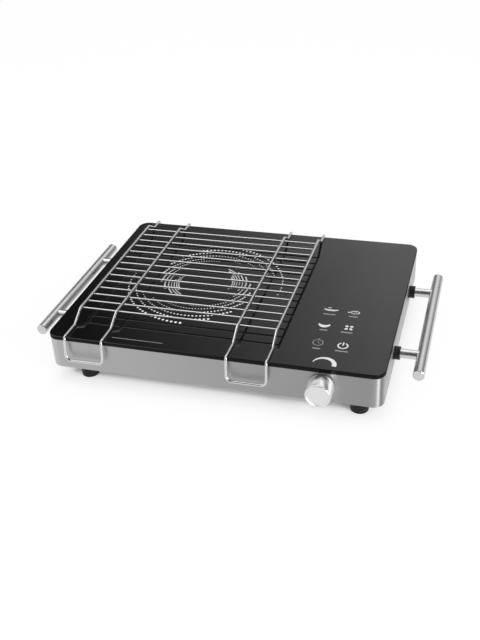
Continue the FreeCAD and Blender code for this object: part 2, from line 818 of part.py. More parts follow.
def add_shape(label, shape, **where):
    """A piece whose shape is worked out here. It gets its place after its shape."""
    piece = doc.addObject("Part::Feature", label)
    piece.Label = label
    piece.Shape = shape
    place(piece, **where)
    parts.append(piece)
    return piece


def rack_side(x):
    """Corners of one long wire, from the front hook's foot over the glass to the rear hook's foot."""
    front, rear = "0 - glass_depth / 2", "glass_depth / 2"
    foot = "glass_top - hook_drop"
    over = "rack_glass_z"
    return [
        vector(x, f"{front} - hook_gap - hook_lean", foot),
        vector(x, f"{front} - hook_gap", over),
        vector(x, f"{front} + rack_front_knee", over),
        vector(x, f"{front} + rack_front_top", "rack_axis_z"),
        vector(x, f"{rear} - rack_rear_top", "rack_axis_z"),
        vector(x, f"{rear} - rack_rear_knee", over),
        vector(x, f"{rear} + hook_gap", over),
        vector(x, f"{rear} + hook_gap + hook_lean", foot),
    ]


def rack_frames():
    """Two closed wire loops. Each is a pair of long wires with a hook over either edge."""
    bends = ["hook_bend", "rack_bend", "rack_bend", "rack_bend", "rack_bend", "hook_bend"]
    side_radii = [value(bend) for bend in bends]
    corner = value("hook_corner")
    for side, outer, inner in (
        ("left", "rack_x - rack_width / 2", "rack_x - rack_width / 2 + rack_pair"),
        ("right", "rack_x + rack_width / 2", "rack_x + rack_width / 2 - rack_pair"),
    ):
        out, back = rack_side(outer), rack_side(inner)[::-1]
        middle = (out[0] + back[-1]) / 2
        corners = [middle] + out + back + [middle]
        radii = [corner] + side_radii + [corner, corner] + side_radii + [corner]
        loop = tangent_path(corners, radii)
        add_shape(f"rack_frame_{side}", tube_along(loop, value("rack_wire")))


def rack_crossbars():
    """Straight cross wires welded under the four long wires."""
    body = new_body("rack_crossbars")
    sketch = new_sketch(body, "section", "YZ_Plane")
    circle(sketch, "rack_bar", "cross_y", "0")
    wire = pad(body, sketch, "rack_width", midplane=True)
    line_up(body, wire, "Y_Axis", "cross_run", "cross_count")
    place(body, "rack_x", z="cross_z")


def knob():
    """Chrome knob with a shallow dished face and a recess that clears the encoder's nut."""
    body = new_body("knob")
    shaft_bore = "shaft_diameter / 2 + thread_clearance"
    turned = revolve(body, "profile", [
        ("knob_recess / 2", "0"),
        ("knob_diameter / 2", "0"),
        ("knob_diameter / 2", "knob_length"),
        ("knob_diameter / 2 - knob_rim", "knob_length"),
        ("knob_diameter / 2 - knob_rim - knob_face_depth", "knob_length - knob_face_depth"),
        ("0", "knob_length - knob_face_depth"),
        ("0", "knob_length - knob_front_wall"),
        (shaft_bore, "knob_length - knob_front_wall"),
        (shaft_bore, "knob_recess_depth"),
        ("knob_recess / 2", "knob_recess_depth"),
    ])
    front = dress(body, "Fillet", turned, round_edge("knob_diameter / 2", "knob_length"),
                  Radius="knob_round")
    dress(body, "Chamfer", front, round_edge("knob_diameter / 2", "0"), Size="knob_round / 2")
    place(body, "knob_x", "(0 - end_face - knob_gap)", "knob_z", **FACING_USER)


def encoder():
    """Rotary encoder, clamped in the front wall by its threaded bushing and nut."""
    facing = {"x": "knob_x", "y": "(0 - end_face)", "z": "knob_z", **FACING_USER}

    case = new_body("encoder_body")
    block = new_sketch(case, "block", lift="0 - sheet_metal")
    rectangle(block, "encoder_width", "encoder_width")
    pad(case, block, "encoder_length", reverse=True)
    neck = new_sketch(case, "neck", lift="0 - sheet_metal")
    circle(neck, "bushing_diameter")
    pad(case, neck, "sheet_metal + bushing_reach")
    bore = new_sketch(case, "bore", lift="bushing_reach")
    circle(bore, "shaft_diameter + 2 * running_gap")
    pocket(case, bore, "bushing_reach + sheet_metal + encoder_length / 2")
    place(case, **facing)

    shaft = new_body("encoder_shaft")
    inner_end = "0 - sheet_metal - encoder_length / 2 + bolt_clearance"
    outer_end = "knob_gap + knob_length - knob_front_wall - bolt_clearance"
    disc = new_sketch(shaft, "disc", lift=inner_end)
    circle(disc, "shaft_diameter")
    pad(shaft, disc, f"{outer_end} - ({inner_end})")
    flat = new_sketch(shaft, "flat", lift=outer_end)
    width = "shaft_diameter"
    rectangle(flat, width, width, "0", "shaft_diameter - shaft_flat")
    pocket(shaft, flat, "knob_length / 2")
    place(shaft, **facing)

    nut = new_body("encoder_nut")
    ring = new_sketch(nut, "ring")
    hexagon(ring, "encoder_nut")
    circle(ring, "bushing_diameter + 2 * thread_clearance")
    pad(nut, ring, "encoder_nut_height")
    place(nut, **facing)

    card = new_body("encoder_board")
    sheet_sketch = new_sketch(card, "card", lift="0 - sheet_metal - encoder_length")
    rectangle(sheet_sketch, "encoder_board_width", "encoder_board_height")
    pad(card, sheet_sketch, "board_thickness", reverse=True)
    place(card, **facing)


def rod_cut(body, clearance, height):
    """Clears the limiter rod, which runs along X at one height."""
    sketch = new_sketch(body, "rod_hole", "YZ_Plane")
    circle(sketch, f"rod_diameter + {clearance}", "0", height)
    pocket(body, sketch, midplane=True)


def heater():
    """Radiant heater: dish, insulation, ribbon and the limiter across it."""
    at_heater = {"x": "heater_x"}
    rod_height = "glass_underside - rod_drop"

    dish = new_body("heater_dish")
    outer = "dish_diameter / 2"
    revolve(dish, "profile", [
        ("0", "0"),
        (outer, "0"),
        (outer, "dish_height"),
        (f"{outer} - dish_wall", "dish_height"),
        (f"{outer} - dish_wall", "dish_wall"),
        ("0", "dish_wall"),
    ])
    rod_cut(dish, "bolt_clearance", f"{rod_height} - (dish_bottom)")
    place(dish, z="dish_bottom", **at_heater)

    lined = "dish_diameter - 2 * dish_wall - 2 * board_clearance"
    base = new_body("heater_base")
    disc = new_sketch(base, "disc")
    circle(disc, lined)
    pad(base, disc, "base_height")
    place(base, z="dish_bottom + dish_wall", **at_heater)

    ring = new_body("heater_ring")
    band = new_sketch(ring, "band")
    circle(band, lined)
    circle(band, f"{lined} - 2 * ring_width")
    pad(ring, band, "glass_underside - (base_top)")
    rod_cut(ring, "bolt_clearance", f"{rod_height} - (base_top)")
    place(ring, z="base_top", **at_heater)

    rod = new_body("limiter_rod")
    section = new_sketch(rod, "section", "YZ_Plane")
    circle(section, "rod_diameter")
    pad(rod, section, "dish_diameter + 2 * rod_end", midplane=True)
    place(rod, z=rod_height, **at_heater)

    switch = new_body("limiter_switch")
    block = new_sketch(switch, "block", "YZ_Plane")
    rectangle(block, "switch_width", "switch_height", "0", "rod_diameter / 2 - switch_height / 2")
    pad(switch, block, "switch_length")
    place(switch, "heater_x + dish_diameter / 2 + rod_end", z=rod_height)

    springs = new_body("heater_springs")
    side = new_sketch(springs, "side", "XZ_Plane")
    rise = "dish_bottom - (cover_top)"
    near = "spring_radius"
    outline(side, [
        (near, "0"),
        (f"{near} + spring_foot", "0"),
        (f"{near} + spring_foot + spring_slope", f"{rise} - spring_sheet"),
        (f"{near} + 2 * spring_foot + spring_slope", f"{rise} - spring_sheet"),
        (f"{near} + 2 * spring_foot + spring_slope", rise),
        (f"{near} + spring_foot + spring_slope - spring_sheet", rise),
        (f"{near} + spring_foot - spring_sheet", "spring_sheet"),
        (near, "spring_sheet"),
    ])
    leaf = pad(springs, side, "spring_width", midplane=True)
    ring_up(springs, leaf, "spring_count")
    place(springs, z="cover_top", **at_heater)


def heater_ribbon():
    """Heating ribbon on edge: half turns that step outwards, each about its own centre."""
    half = value("ribbon_thickness") / 2
    step = value("ribbon_pitch") / 2
    middle, radius, side = 0.0, value("ribbon_start"), 1.0
    outer, inner = [], []
    for _ in range(int(value("ribbon_half_turns"))):
        for edges, reach in ((outer, radius + half), (inner, radius - half)):
            start = FreeCAD.Vector(middle + side * reach, 0, 0)
            top = FreeCAD.Vector(middle, side * reach, 0)
            end = FreeCAD.Vector(middle - side * reach, 0, 0)
            edges.append(Part.Arc(start, top, end).toShape())
        middle += side * step
        radius += step
        side = -side
    first = Part.LineSegment(inner[0].firstVertex().Point, outer[0].firstVertex().Point).toShape()
    last = Part.LineSegment(outer[-1].lastVertex().Point, inner[-1].lastVertex().Point).toShape()
    rim = Part.Wire(Part.__sortEdges__([first, last] + outer + inner))
    solid = Part.Face(rim).extrude(FreeCAD.Vector(0, 0, value("ribbon_height")))
    add_shape("heater_ribbon", solid, x="heater_x", z="base_top")


def touch_panel():
    """Touch board held under the glass by a frame, with a sprung contact under each key."""
    carrier = new_body("touch_carrier")
    frame = new_sketch(carrier, "frame")
    width, depth = "touch_board_width + 2 * board_clearance", "touch_board_depth + 2 * board_clearance"
    rectangle(frame, f"{width} + 2 * carrier_wall", f"{depth} + 2 * carrier_wall")
    rectangle(frame, f"{width} - 2 * carrier_ledge", f"{depth} - 2 * carrier_ledge")
    pad(carrier, frame, "carrier_height")
    recess = new_sketch(carrier, "recess", lift="board_thickness")
    rectangle(recess, width, depth)
    pocket(carrier, recess, "2 * board_thickness")
    place(carrier, "panel_x", "panel_y", "touch_board_z")

    card = new_body("touch_board")
    card_sketch = new_sketch(card, "card")
    rectangle(card_sketch, "touch_board_width", "touch_board_depth")
    pad(card, card_sketch, "board_thickness")
    place(card, "panel_x", "panel_y", "touch_board_z")

    contacts = new_body("touch_contacts")
    rings = new_sketch(contacts, "rings")
    for across in ("0 - key_pitch_across / 2", "key_pitch_across / 2"):
        for deep in ("0 - key_pitch_deep", "0", "key_pitch_deep"):
            circle(rings, "contact_diameter", across, deep)
    pad(contacts, rings, "carrier_height - board_thickness")
    place(contacts, "panel_x", "panel_y", "touch_board_z + board_thickness")


def power_board():
    """Power board on four posts, with the larger pieces that stand on it."""
    spots = corner_spots("0", "0", "board_width - 2 * post_inset", "board_depth - 2 * post_inset")
    posts = new_body("board_posts")
    rings = new_sketch(posts, "rings")
    for x, y in spots:
        circle(rings, "post_diameter", x, y)
        circle(rings, "board_screw + 2 * thread_clearance", x, y)
    pad(posts, rings, "post_height")
    place(posts, "board_x", "board_y", "cover_top")

    card = new_body("power_board")
    sketch = new_sketch(card, "card")
    rectangle(sketch, "board_width", "board_depth")
    for x, y in spots:
        circle(sketch, "board_screw + bolt_clearance", x, y)
    pad(card, sketch, "board_thickness")
    place(card, "board_x", "board_y", "board_z")

    bolts = screws("board_screws", spots, "board_screw", "board_screw_length",
                   "board_screw_head", "board_screw_head_height", tip_up=False)
    place(bolts, "board_x", "board_y", "board_top")

    relay = new_body("relay")
    box = new_sketch(relay, "box")
    rectangle(box, "relay_width", "relay_depth")
    block = pad(relay, box, "relay_height")
    dress(relay, "Fillet", block, at_height("relay_height"), Radius="board_thickness / 2")
    place(relay, "relay_x", "0", "board_top")

    transformer = new_body("transformer")
    coil = new_sketch(transformer, "coil")
    rectangle(coil, "transformer_width - 2 * core_thickness / 2", "transformer_depth")
    pad(transformer, coil, "transformer_height - core_thickness / 3")
    core = new_sketch(transformer, "core")
    rectangle(core, "transformer_width", "transformer_depth - core_thickness")
    pad(transformer, core, "transformer_height")
    place(transformer, "board_x - transformer_shift", "transformer_y", "board_top")

    capacitor = new_body("capacitor")
    disc = new_sketch(capacitor, "disc")
    circle(disc, "capacitor_diameter")
    can = pad(capacitor, disc, "capacitor_height")
    dress(capacitor, "Fillet", can, at_height("capacitor_height"), Radius="capacitor_diameter / 10")
    place(capacitor, "board_x", "board_y - board_depth / 4", "board_top")

    sink = new_body("heatsink")
    foot = new_sketch(sink, "foot")
    rectangle(foot, "heatsink_width", "heatsink_depth")
    pad(sink, foot, "heatsink_height")
    gap = new_sketch(sink, "gap", lift="heatsink_height")
    rectangle(gap, "fin_gap", "heatsink_depth + 2 * fin_gap", "0 - (fin_count - 1) * fin_pitch / 2")
    cut = pocket(sink, gap, "fin_depth")
    line_up(sink, cut, "X_Axis", "(fin_count - 1) * fin_pitch", "fin_count")
    place(sink, "heatsink_x", "heatsink_y", "board_top")

    plug_block = new_body("plug_block")
    strip = new_sketch(plug_block, "strip")
    rectangle(strip, "plug_block_width", "plug_block_depth")
    pad(plug_block, strip, "plug_block_height")
    place(plug_block, "plug_block_x", "plug_block_y", "board_top")


def fan_frame():
    """Square fan frame with a round duct, and a motor seat held by three struts."""
    body = new_body("fan_frame")
    square = new_sketch(body, "square")
    rounded_rectangle(square, "fan_side", "fan_side", "fan_corner")
    circle(square, "fan_bore")
    for x, y in corner_spots("0", "0", "fan_hole_spacing", "fan_hole_spacing"):
        circle(square, "fan_screw + bolt_clearance", x, y)
    pad(body, square, "fan_height")
    strut = new_sketch(body, "strut")
    reach = "fan_bore / 2 + bolt_clearance"
    rectangle(strut, reach, "strut_width", f"({reach}) / 2")
    bar = pad(body, strut, "seat_height")
    ring_up(body, bar, "3")
    seat = new_sketch(body, "seat")
    circle(seat, "seat_diameter")
    pad(body, seat, "seat_height")
    sleeve = new_sketch(body, "sleeve")
    circle(sleeve, "sleeve_diameter")
    pad(body, sleeve, "seat_height + sleeve_height")
    bore = new_sketch(body, "axle_bore", lift="seat_height + sleeve_height")
    circle(bore, "rotor_axle + 2 * running_gap")
    pocket(body, bore, "sleeve_height")
    place(body, "fan_x", "fan_y", "cover_top")


def fan_stator():
    body = new_body("fan_stator")
    ring = new_sketch(body, "ring")
    circle(ring, "stator_diameter")
    circle(ring, "sleeve_diameter + 2 * thread_clearance")
    pad(body, ring, "stator_height")
    place(body, "fan_x", "fan_y", "cover_top + seat_height")


def blade_section(body, name, distance, rise, run):
    """Slanted section of a blade, square to the radius at one distance from the axle."""
    sketch = new_sketch(body, name, "YZ_Plane", distance)
    middle = "hub_height / 2"
    half_run, half_rise = f"({run}) / 2", f"({rise}) / 2"
    outline(sketch, [
        (f"0 - {half_run}", f"{middle} - {half_rise}"),
        (f"0 - {half_run} + blade_thickness", f"{middle} - {half_rise}"),
        (half_run, f"{middle} + {half_rise}"),
        (f"{half_run} - blade_thickness", f"{middle} + {half_rise}"),
    ])
    return sketch


def fan_rotor():
    """Rotor: a cup over the stator, an axle in the sleeve, and twisted blades round the cup."""
    body = new_body("fan_rotor")
    axle = "rotor_axle / 2"
    inner = "hub_diameter / 2 - hub_wall"
    revolve(body, "cup", [
        ("hub_diameter / 2", "0"),
        ("hub_diameter / 2", "hub_height"),
        ("0", "hub_height"),
        ("0", "hub_height - hub_wall - sleeve_height"),
        (axle, "hub_height - hub_wall - sleeve_height"),
        (axle, "hub_height - hub_wall"),
        (inner, "hub_height - hub_wall"),
        (inner, "0"),
    ])
    root = blade_section(body, "root", "hub_diameter / 2 - hub_wall / 2",
                         "blade_root_rise", "blade_root_run")
    tip = blade_section(body, "tip", "blade_tip", "blade_tip_rise", "blade_tip_run")
    blade = body.newObject("PartDesign::AdditiveLoft", "fan_blade")
    blade.Profile = root
    blade.Sections = [tip]
    blade.Ruled = True
    body.Tip = blade
    ring_up(body, blade, "blade_count")
    place(body, "fan_x", "fan_y", "rotor_z")


def fan_screws():
    spots = corner_spots("0", "0", "fan_hole_spacing", "fan_hole_spacing")
    body = screws("fan_screws", spots, "fan_screw", "fan_height + sheet_metal",
                  "fan_screw_head", "fan_screw_head_height", tip_up=False)
    place(body, "fan_x", "fan_y", "cover_top + fan_height")


def cord_inlet():
    """Gland through the rear wall with its nut inside, and the mains terminal block."""
    facing = {"x": "gland_x", "y": "end_face", "z": "foot_height + gland_rise", **FACING_REAR}
    gland = new_body("gland_body")
    bore = "gland_bore / 2"
    inner_end = "0 - sheet_metal - gland_nut_height - gland_tail"
    revolve(gland, "profile", [
        (bore, inner_end),
        ("gland_neck / 2", inner_end),
        ("gland_neck / 2", "0"),
        ("gland_flange_diameter / 2", "0"),
        ("gland_flange_diameter / 2", "gland_flange"),
        ("gland_snout_root / 2", "gland_flange"),
        ("gland_snout_tip / 2", "gland_flange + gland_snout"),
        (bore, "gland_flange + gland_snout"),
    ])
    place(gland, **facing)

    nut = new_body("gland_nut")
    ring = new_sketch(nut, "ring", lift="0 - sheet_metal")
    hexagon(ring, "gland_nut")
    circle(ring, "gland_neck + 2 * thread_clearance")
    pad(nut, ring, "gland_nut_height", reverse=True)
    place(nut, **facing)

    block = new_body("terminal_block")
    foot = new_sketch(block, "foot")
    rectangle(foot, "terminal_width", "terminal_depth")
    pad(block, foot, "terminal_height")
    ways = new_sketch(block, "ways", "XZ_Plane")
    for x in ("0 - terminal_pitch", "0", "terminal_pitch"):
        circle(ways, "terminal_hole", x, "terminal_height / 2")
    pocket(block, ways, midplane=True)
    place(block, "terminal_x", "terminal_y", "cover_top")


def leads():
    """Insulated leads inside the housing, each of straight runs and tangent arcs."""
    lead = value("lead_diameter")
    run = value("lead_run")
    wires = []
    for offset in (-1, 0, 1):
        start = vector(f"terminal_x + ({offset}) * terminal_pitch",
                       "terminal_y - terminal_depth / 2", "cover_top + terminal_height / 2")
        end = vector(f"plug_block_x + ({offset}) * plug_pitch",
                     "plug_block_y + plug_block_depth / 2", "board_top + plug_block_height / 2")
        near = start - FreeCAD.Vector(0, run, 0)
        far = end + FreeCAD.Vector(0, run, 0)
        wires.append(tube_along(tangent_path([start, near, far, end], [2 * lead, 2 * lead]), lead))
    add_shape("mains_leads", Part.makeCompound(wires))

    wires = []
    for offset in ("0 - relay_depth / 4", "relay_depth / 4"):
        start = vector("heater_x + dish_diameter / 2 + rod_end + switch_length", offset,
                       "glass_underside - rod_drop - switch_height / 2")
        end = vector("relay_x - relay_width / 2", offset, "board_top + relay_height / 2")
        third = (end.x - start.x) / 3
        near = start + FreeCAD.Vector(third, 0, 0)
        far = end - FreeCAD.Vector(third, 0, 0)
        wires.append(tube_along(tangent_path([start, near, far, end], [lead, lead]), lead))
    add_shape("heater_leads", Part.makeCompound(wires))


def check_and_write():
    """Stop on any failed feature or piece, then write one file for each piece."""
    doc.recompute()
    for item in doc.Objects:
        if "Invalid" in item.State or "Error" in item.State:
            raise RuntimeError(f"{item.Label} failed: {item.State}")
        if item.TypeId == "PartDesign::Pocket" and item.BaseFeature:
            if item.Shape.Volume >= item.BaseFeature.Shape.Volume:
                raise RuntimeError(f"{item.Label} cuts nothing")
    os.makedirs("parts", exist_ok=True)
    for piece in parts:
        if piece.Shape.isNull() or not piece.Shape.isValid():
            raise RuntimeError(f"{piece.Label} has no valid shape")
        piece.Shape.exportStep(f"parts/{piece.Label}.step")
        print(f"{piece.Label}: {len(piece.Shape.Solids)} solids, {piece.Shape.Volume:.0f} mm3")
    print(f"{len(parts)} pieces")


glass_plate()
glass_seal()
housing()
bottom_cover()
cover_screws()
feet()
foot_fixings()
handles()
rack_frames()
rack_crossbars()
knob()
encoder()
heater()
heater_ribbon()
touch_panel()
power_board()
fan_frame()
fan_stator()
fan_rotor()
fan_screws()
cord_inlet()
leads()
check_and_write()
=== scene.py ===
# %% [markdown]
# # An infrared cooktop, dressed for its picture
# The construction model already holds every solid piece of this cooktop at its true size and place.
# This lesson leaves those solids where they are and gives them the skin of the real thing: black
# glass-ceramic with a print on it, brushed steel, chrome wire, rubber and plastic. It then adds the
# fine things that are too thin for the construction model, and a small photo studio round it all.
# The frame is loaded first, because every later cell asks it where things are.

import json
import math
import random

import bmesh
import bpy
from mathutils import Matrix, Vector


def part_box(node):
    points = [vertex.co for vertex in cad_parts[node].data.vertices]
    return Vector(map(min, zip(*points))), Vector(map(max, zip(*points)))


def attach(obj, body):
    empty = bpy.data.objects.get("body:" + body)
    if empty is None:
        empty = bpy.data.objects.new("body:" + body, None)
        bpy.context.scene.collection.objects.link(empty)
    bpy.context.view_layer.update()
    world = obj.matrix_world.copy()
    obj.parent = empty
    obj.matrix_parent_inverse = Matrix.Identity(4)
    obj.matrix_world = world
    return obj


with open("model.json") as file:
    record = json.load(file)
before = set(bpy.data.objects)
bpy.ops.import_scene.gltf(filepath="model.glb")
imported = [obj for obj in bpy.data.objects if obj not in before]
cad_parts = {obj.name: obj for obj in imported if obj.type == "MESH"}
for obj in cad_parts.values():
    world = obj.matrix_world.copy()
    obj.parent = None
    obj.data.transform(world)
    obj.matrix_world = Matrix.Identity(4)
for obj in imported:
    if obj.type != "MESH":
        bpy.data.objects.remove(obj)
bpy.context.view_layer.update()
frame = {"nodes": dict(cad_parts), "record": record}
print("solid pieces loaded:", len(frame["nodes"]))

# %% [markdown]
# A few lengths and places are needed again and again. They are read from the model, so that the
# print stays on the glass if the glass moves. Lengths are metres in Blender, and `MM` turns the
# millimetres of a drawing into them. The glass plate's middle is the zero point of the print.

# %% Where the glass lies
MM = 0.001
PRINT_LIFT = 0.05 * MM
plate_low, plate_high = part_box("glass_plate")
plate_middle = (plate_low + plate_high) / 2
glass_top = plate_high.z


def on_glass(x, y):
    """A point of the print: millimetres from the middle of the glass, just above its surface."""
    return Vector((plate_middle.x + x * MM, plate_middle.y + y * MM, glass_top + PRINT_LIFT))


def turned(x, y, turn):
    """A flat point, turned round zero by an angle in radians."""
    return (x * math.cos(turn) - y * math.sin(turn), x * math.sin(turn) + y * math.cos(turn))


print("glass top at", round(glass_top / MM, 2), "mm, middle at", [round(c / MM, 2) for c in plate_middle])

# %% [markdown]
# A colour in Blender is four numbers: red, green, blue and opacity. Three helpers spare the typing.
# One makes a grey, one makes a colour darker or lighter, and one fills a colour ramp, which is born
# with two stops and has to be given the rest.

# %% Helpers for colours
def grey(level):
    """A grey of this level, with full opacity."""
    return (level, level, level, 1.0)


def shade(colour, share):
    """A colour made darker or lighter by a share, with full opacity."""
    return tuple(min(1.0, channel * share) for channel in colour) + (1.0,)


def fill_ramp(ramp, stops):
    """Replace a colour ramp's two stops by any number of them."""
    while len(ramp.elements) < len(stops):
        ramp.elements.new(0.5)
    for element, (place, colour) in zip(ramp.elements, stops):
        element.position = place
        element.color = colour if hasattr(colour, "__len__") else grey(colour)


print("a middle grey is", grey(0.5))

# %% [markdown]
# ## Writing materials as sums
# A material in Blender is a graph of nodes. Wiring it by hand hides the thought behind it, so here
# one small class stands for the output of a node. Adding or multiplying two of them adds the Math
# node that does it, and a plain number may stand on either side. Every other node comes from the
# one method `node`, which first applies the node's settings and then fills its sockets. The Mix
# node keeps a set of sockets for each kind of data. The four numbers below are the sockets of its
# colour set, because colours go through Mix: a Math node would turn them grey.

# %% A class for signals between nodes
MIX_SHARE = 0
MIX_FIRST = 6
MIX_SECOND = 7
MIX_RESULT = 2


class Signal:
    """The output of a shader node, ready for arithmetic."""

    def __init__(self, tree, socket=None):
        self.tree = tree
        self.socket = socket

    def node(self, kind, settings=None, inputs=None, out=0):
        """Any other node: its settings first, then the values or links of its sockets."""
        made = self.tree.nodes.new("ShaderNode" + kind)
        for name, setting in (settings or {}).items():
            if name == "stops":
                fill_ramp(made.color_ramp, setting)
            else:
                setattr(made, name, setting)
        for name, given in (inputs or {}).items():
            if isinstance(given, Signal):
                self.tree.links.new(given.socket, made.inputs[name])
            else:
                made.inputs[name].default_value = given
        return Signal(self.tree, made.outputs[out])

    def output(self, name):
        """Another output of the same node."""
        return Signal(self.tree, self.socket.node.outputs[name])

    def math(self, operation, other=None, swap=False):
        """A Math node of this signal alone, or of this signal and another one or a number."""
        pair = [other, self] if swap else [self, other]
        inputs = {place: given for place, given in enumerate(pair) if given is not None}
        return self.node("Math", {"operation": operation}, inputs)

    def __add__(self, other):
        return self.math("ADD", other)

    def __radd__(self, other):
        return self.math("ADD", other, swap=True)

    def __sub__(self, other):
        return self.math("SUBTRACT", other)

    def __rsub__(self, other):
        return self.math("SUBTRACT", other, swap=True)

    def __mul__(self, other):
        return self.math("MULTIPLY", other)

    def __rmul__(self, other):
        return self.math("MULTIPLY", other, swap=True)

    def __gt__(self, other):
        return self.math("GREATER_THAN", other)

    def __lt__(self, other):
        return self.math("LESS_THAN", other)

    def ramp(self, stops):
        """Smooth steps of grey or colour along this signal, as (place, colour) pairs."""
        return self.node("ValToRGB", {"stops": stops}, {0: self})

    def blend(self, low, high):
        """A colour between low and high, by this signal."""
        inputs = {MIX_SHARE: self, MIX_FIRST: low, MIX_SECOND: high}
        return self.node("Mix", {"data_type": "RGBA"}, inputs, out=MIX_RESULT)

    def tinted(self, tint):
        """This colour multiplied by another one."""
        settings = {"data_type": "RGBA", "blend_type": "MULTIPLY"}
        inputs = {MIX_SHARE: 1.0, MIX_FIRST: self, MIX_SECOND: tint}
        return self.node("Mix", settings, inputs, out=MIX_RESULT)

    def part(self, axis):
        """One of the three numbers of a place or a direction."""
        return self.node("SeparateXYZ", {}, {0: self}, out=axis)

    def stretched(self, x, y, z):
        """This place in space, with each direction scaled by its own number."""
        return self.node("VectorMath", {"operation": "MULTIPLY"}, {0: self, 1: (x, y, z)})

    def noise(self, scale, detail=2.0, roughness=0.5):
        """Cloudy noise from 0 to 1 at this place in space."""
        inputs = {"Vector": self, "Scale": scale, "Detail": detail, "Roughness": roughness}
        return self.node("TexNoise", {}, inputs, out="Fac")

    def between(self, low, high):
        """A signal from 0 to 1, spread from low to high by plain arithmetic."""
        return self * (high - low) + low


print("signals know", [name for name in vars(Signal) if not name.startswith("__")])

# %% [markdown]
# A finish is a material built on the Principled shader. Anything that is the same all over is set
# on the shader's own socket as a number. Anything that changes over the surface is a signal: it may
# drive the colour, the roughness, or a bump that tilts the surface a little. Distances in a finish
# are metres, because object space is used for all of them and the solids are never scaled.

# %% Tools for finishes
def new_finish(name, **constants):
    """A material with a Principled shader, with plain numbers set on its sockets."""
    material = bpy.data.materials.new(name)
    material.use_nodes = True
    shader = material.node_tree.nodes["Principled BSDF"]
    for socket, number in constants.items():
        shader.inputs[socket.replace("_", " ")].default_value = number
    return material


def place_in(material):
    """The place in object space that a texture is drawn at."""
    return Signal(material.node_tree).node("TexCoord", out="Object")


def drive(material, **signals):
    """Link signals to the Principled shader's sockets, named with underscores for spaces."""
    shader = material.node_tree.nodes["Principled BSDF"]
    for socket, signal in signals.items():
        material.node_tree.links.new(signal.socket, shader.inputs[socket.replace("_", " ")])


def bumped(height, distance, strength=1.0):
    """A surface normal tilted by a height signal. The distance is the real depth in metres."""
    return height.node("Bump", {}, {"Height": height, "Distance": distance, "Strength": strength})


def dress(slot, material):
    """Give a finish to every solid piece that the record puts in a material slot."""
    names = [piece["node"] for piece in frame["record"]["subparts"] if piece["material_slot"] == slot]
    for name in names:
        for place in frame["nodes"][name].material_slots:
            place.material = material
    print(slot, "->", material.name, "on", ", ".join(names))


# %% [markdown]
# ## Black glass-ceramic
# The plate is dark right through and polished on top, while its rim is only ground. Nearly all that
# is seen of it is what the polish reflects. The body of the material is therefore a dull, almost
# black ceramic without a shine of its own, and the polish is a clear coat over it. The coat is
# strong where the surface faces up and weak on the rim, which stays darker than the top. A glass
# shader that lets light through was not chosen: the real plate hides the heater completely.

# %% The glass finish
BLACKEST = (0.002, 0.002, 0.0025, 1.0)
WIPED_BLACK = (0.004, 0.004, 0.0045, 1.0)
RIM_COAT = 0.2
FACES_UP = 0.5
black_glass = new_finish(
    "black_glass_ceramic", Metallic=0.0, Specular_IOR_Level=0.0, Coat_IOR=1.52, Coat_Roughness=0.035,
)
place = place_in(black_glass)
wiped = place.noise(14.0, detail=3.0)
is_top = place.node("NewGeometry", out="Normal").part("Z") > FACES_UP
drive(
    black_glass,
    Base_Color=wiped.blend(BLACKEST, WIPED_BLACK),
    Roughness=wiped.between(0.45, 0.55),
    Coat_Weight=is_top * wiped.between(0.72, 0.80) + RIM_COAT,
)
dress("glass_ceramic", black_glass)

# %% [markdown]
# ## Brushed steel
# The housing is brushed along its walls: thousands of fine parallel scratches that run level round
# it. Noise that is stretched a hundredfold along the scratches and left short across them draws
# such lines. The walls are upright, so level scratches are long in X and Y and short in Z. The
# same scratches also spread each highlight up and down, which the shader's anisotropy does.
#
# The front wall is not one even grey, and that is painted light in its colour: a painted sheen that
# is brightest at the left corner and falls from left to right, and at the right corner a painted
# highlight, then a painted dark line, before the side wall is painted brighter again. A ramp along
# X says how bright the steel is painted at each place. The other bare metals share the recipe with
# other grains: the screws are streaked upright, and the pressed sheets have clouds without any
# direction.

# %% Brushed finishes
DARKEST_SCRATCH = 0.90
LIGHTEST_SCRATCH = 1.06
STREAK_WIDTH = 6.0
ROUGHNESS_SWING = 0.07


def brushed(name, colour, grain, roughness, anisotropy=0.0, depth=0.000004, painted_sheen=()):
    """Bare metal with fine scratches. The grain gives the noise scale in each direction, per metre.

    The last argument lists painted light, a painted sheen and shade: how bright the colour is painted
    from the left end of the glass (0) to the right end (1).
    """
    material = new_finish(name, Metallic=1.0, Anisotropic=anisotropy, Anisotropic_Rotation=0.25)
    place = place_in(material)
    scratches = place.stretched(*grain).noise(1.0, detail=4.0, roughness=0.65)
    streaks = place.stretched(*[scale / STREAK_WIDTH for scale in grain]).noise(1.0, detail=2.0)
    cloud = place.noise(9.0, detail=2.0)
    wear = scratches * 0.5 + streaks * 0.3 + cloud * 0.2
    tone = wear.blend(shade(colour, DARKEST_SCRATCH), shade(colour, LIGHTEST_SCRATCH))
    # The ramp paints light into the colour: a painted sheen, painted highlights and a painted dark line.
    if painted_sheen:
        along = place.part("X") * (0.5 / plate_high.x) + 0.5
        tone = tone.tinted(along.ramp(painted_sheen))
    swing = scratches.between(roughness - ROUGHNESS_SWING, roughness + ROUGHNESS_SWING)
    drive(
        material,
        Base_Color=tone,
        Roughness=swing + streaks * 0.04,
        Normal=bumped(scratches, depth),
    )
    return material


# Painted light on the housing: a painted highlight at the left corner, a painted sheen that falls to the
# right, and at the right corner a painted highlight, a painted dark line and a brighter side wall.
HOUSING_PAINTED_SHEEN = [
    (0.0, 0.82), (0.03, 0.72), (0.25, 0.69), (0.5, 0.64), (0.96, 0.53), (0.980, 0.62), (0.986, 0.38),
    (0.993, 0.36), (0.998, 0.80),
]
ALONG_THE_WALLS = (12.0, 12.0, 3600.0)
ALONG_THE_BAR = (2600.0, 60.0, 2600.0)
UPRIGHT = (900.0, 900.0, 60.0)

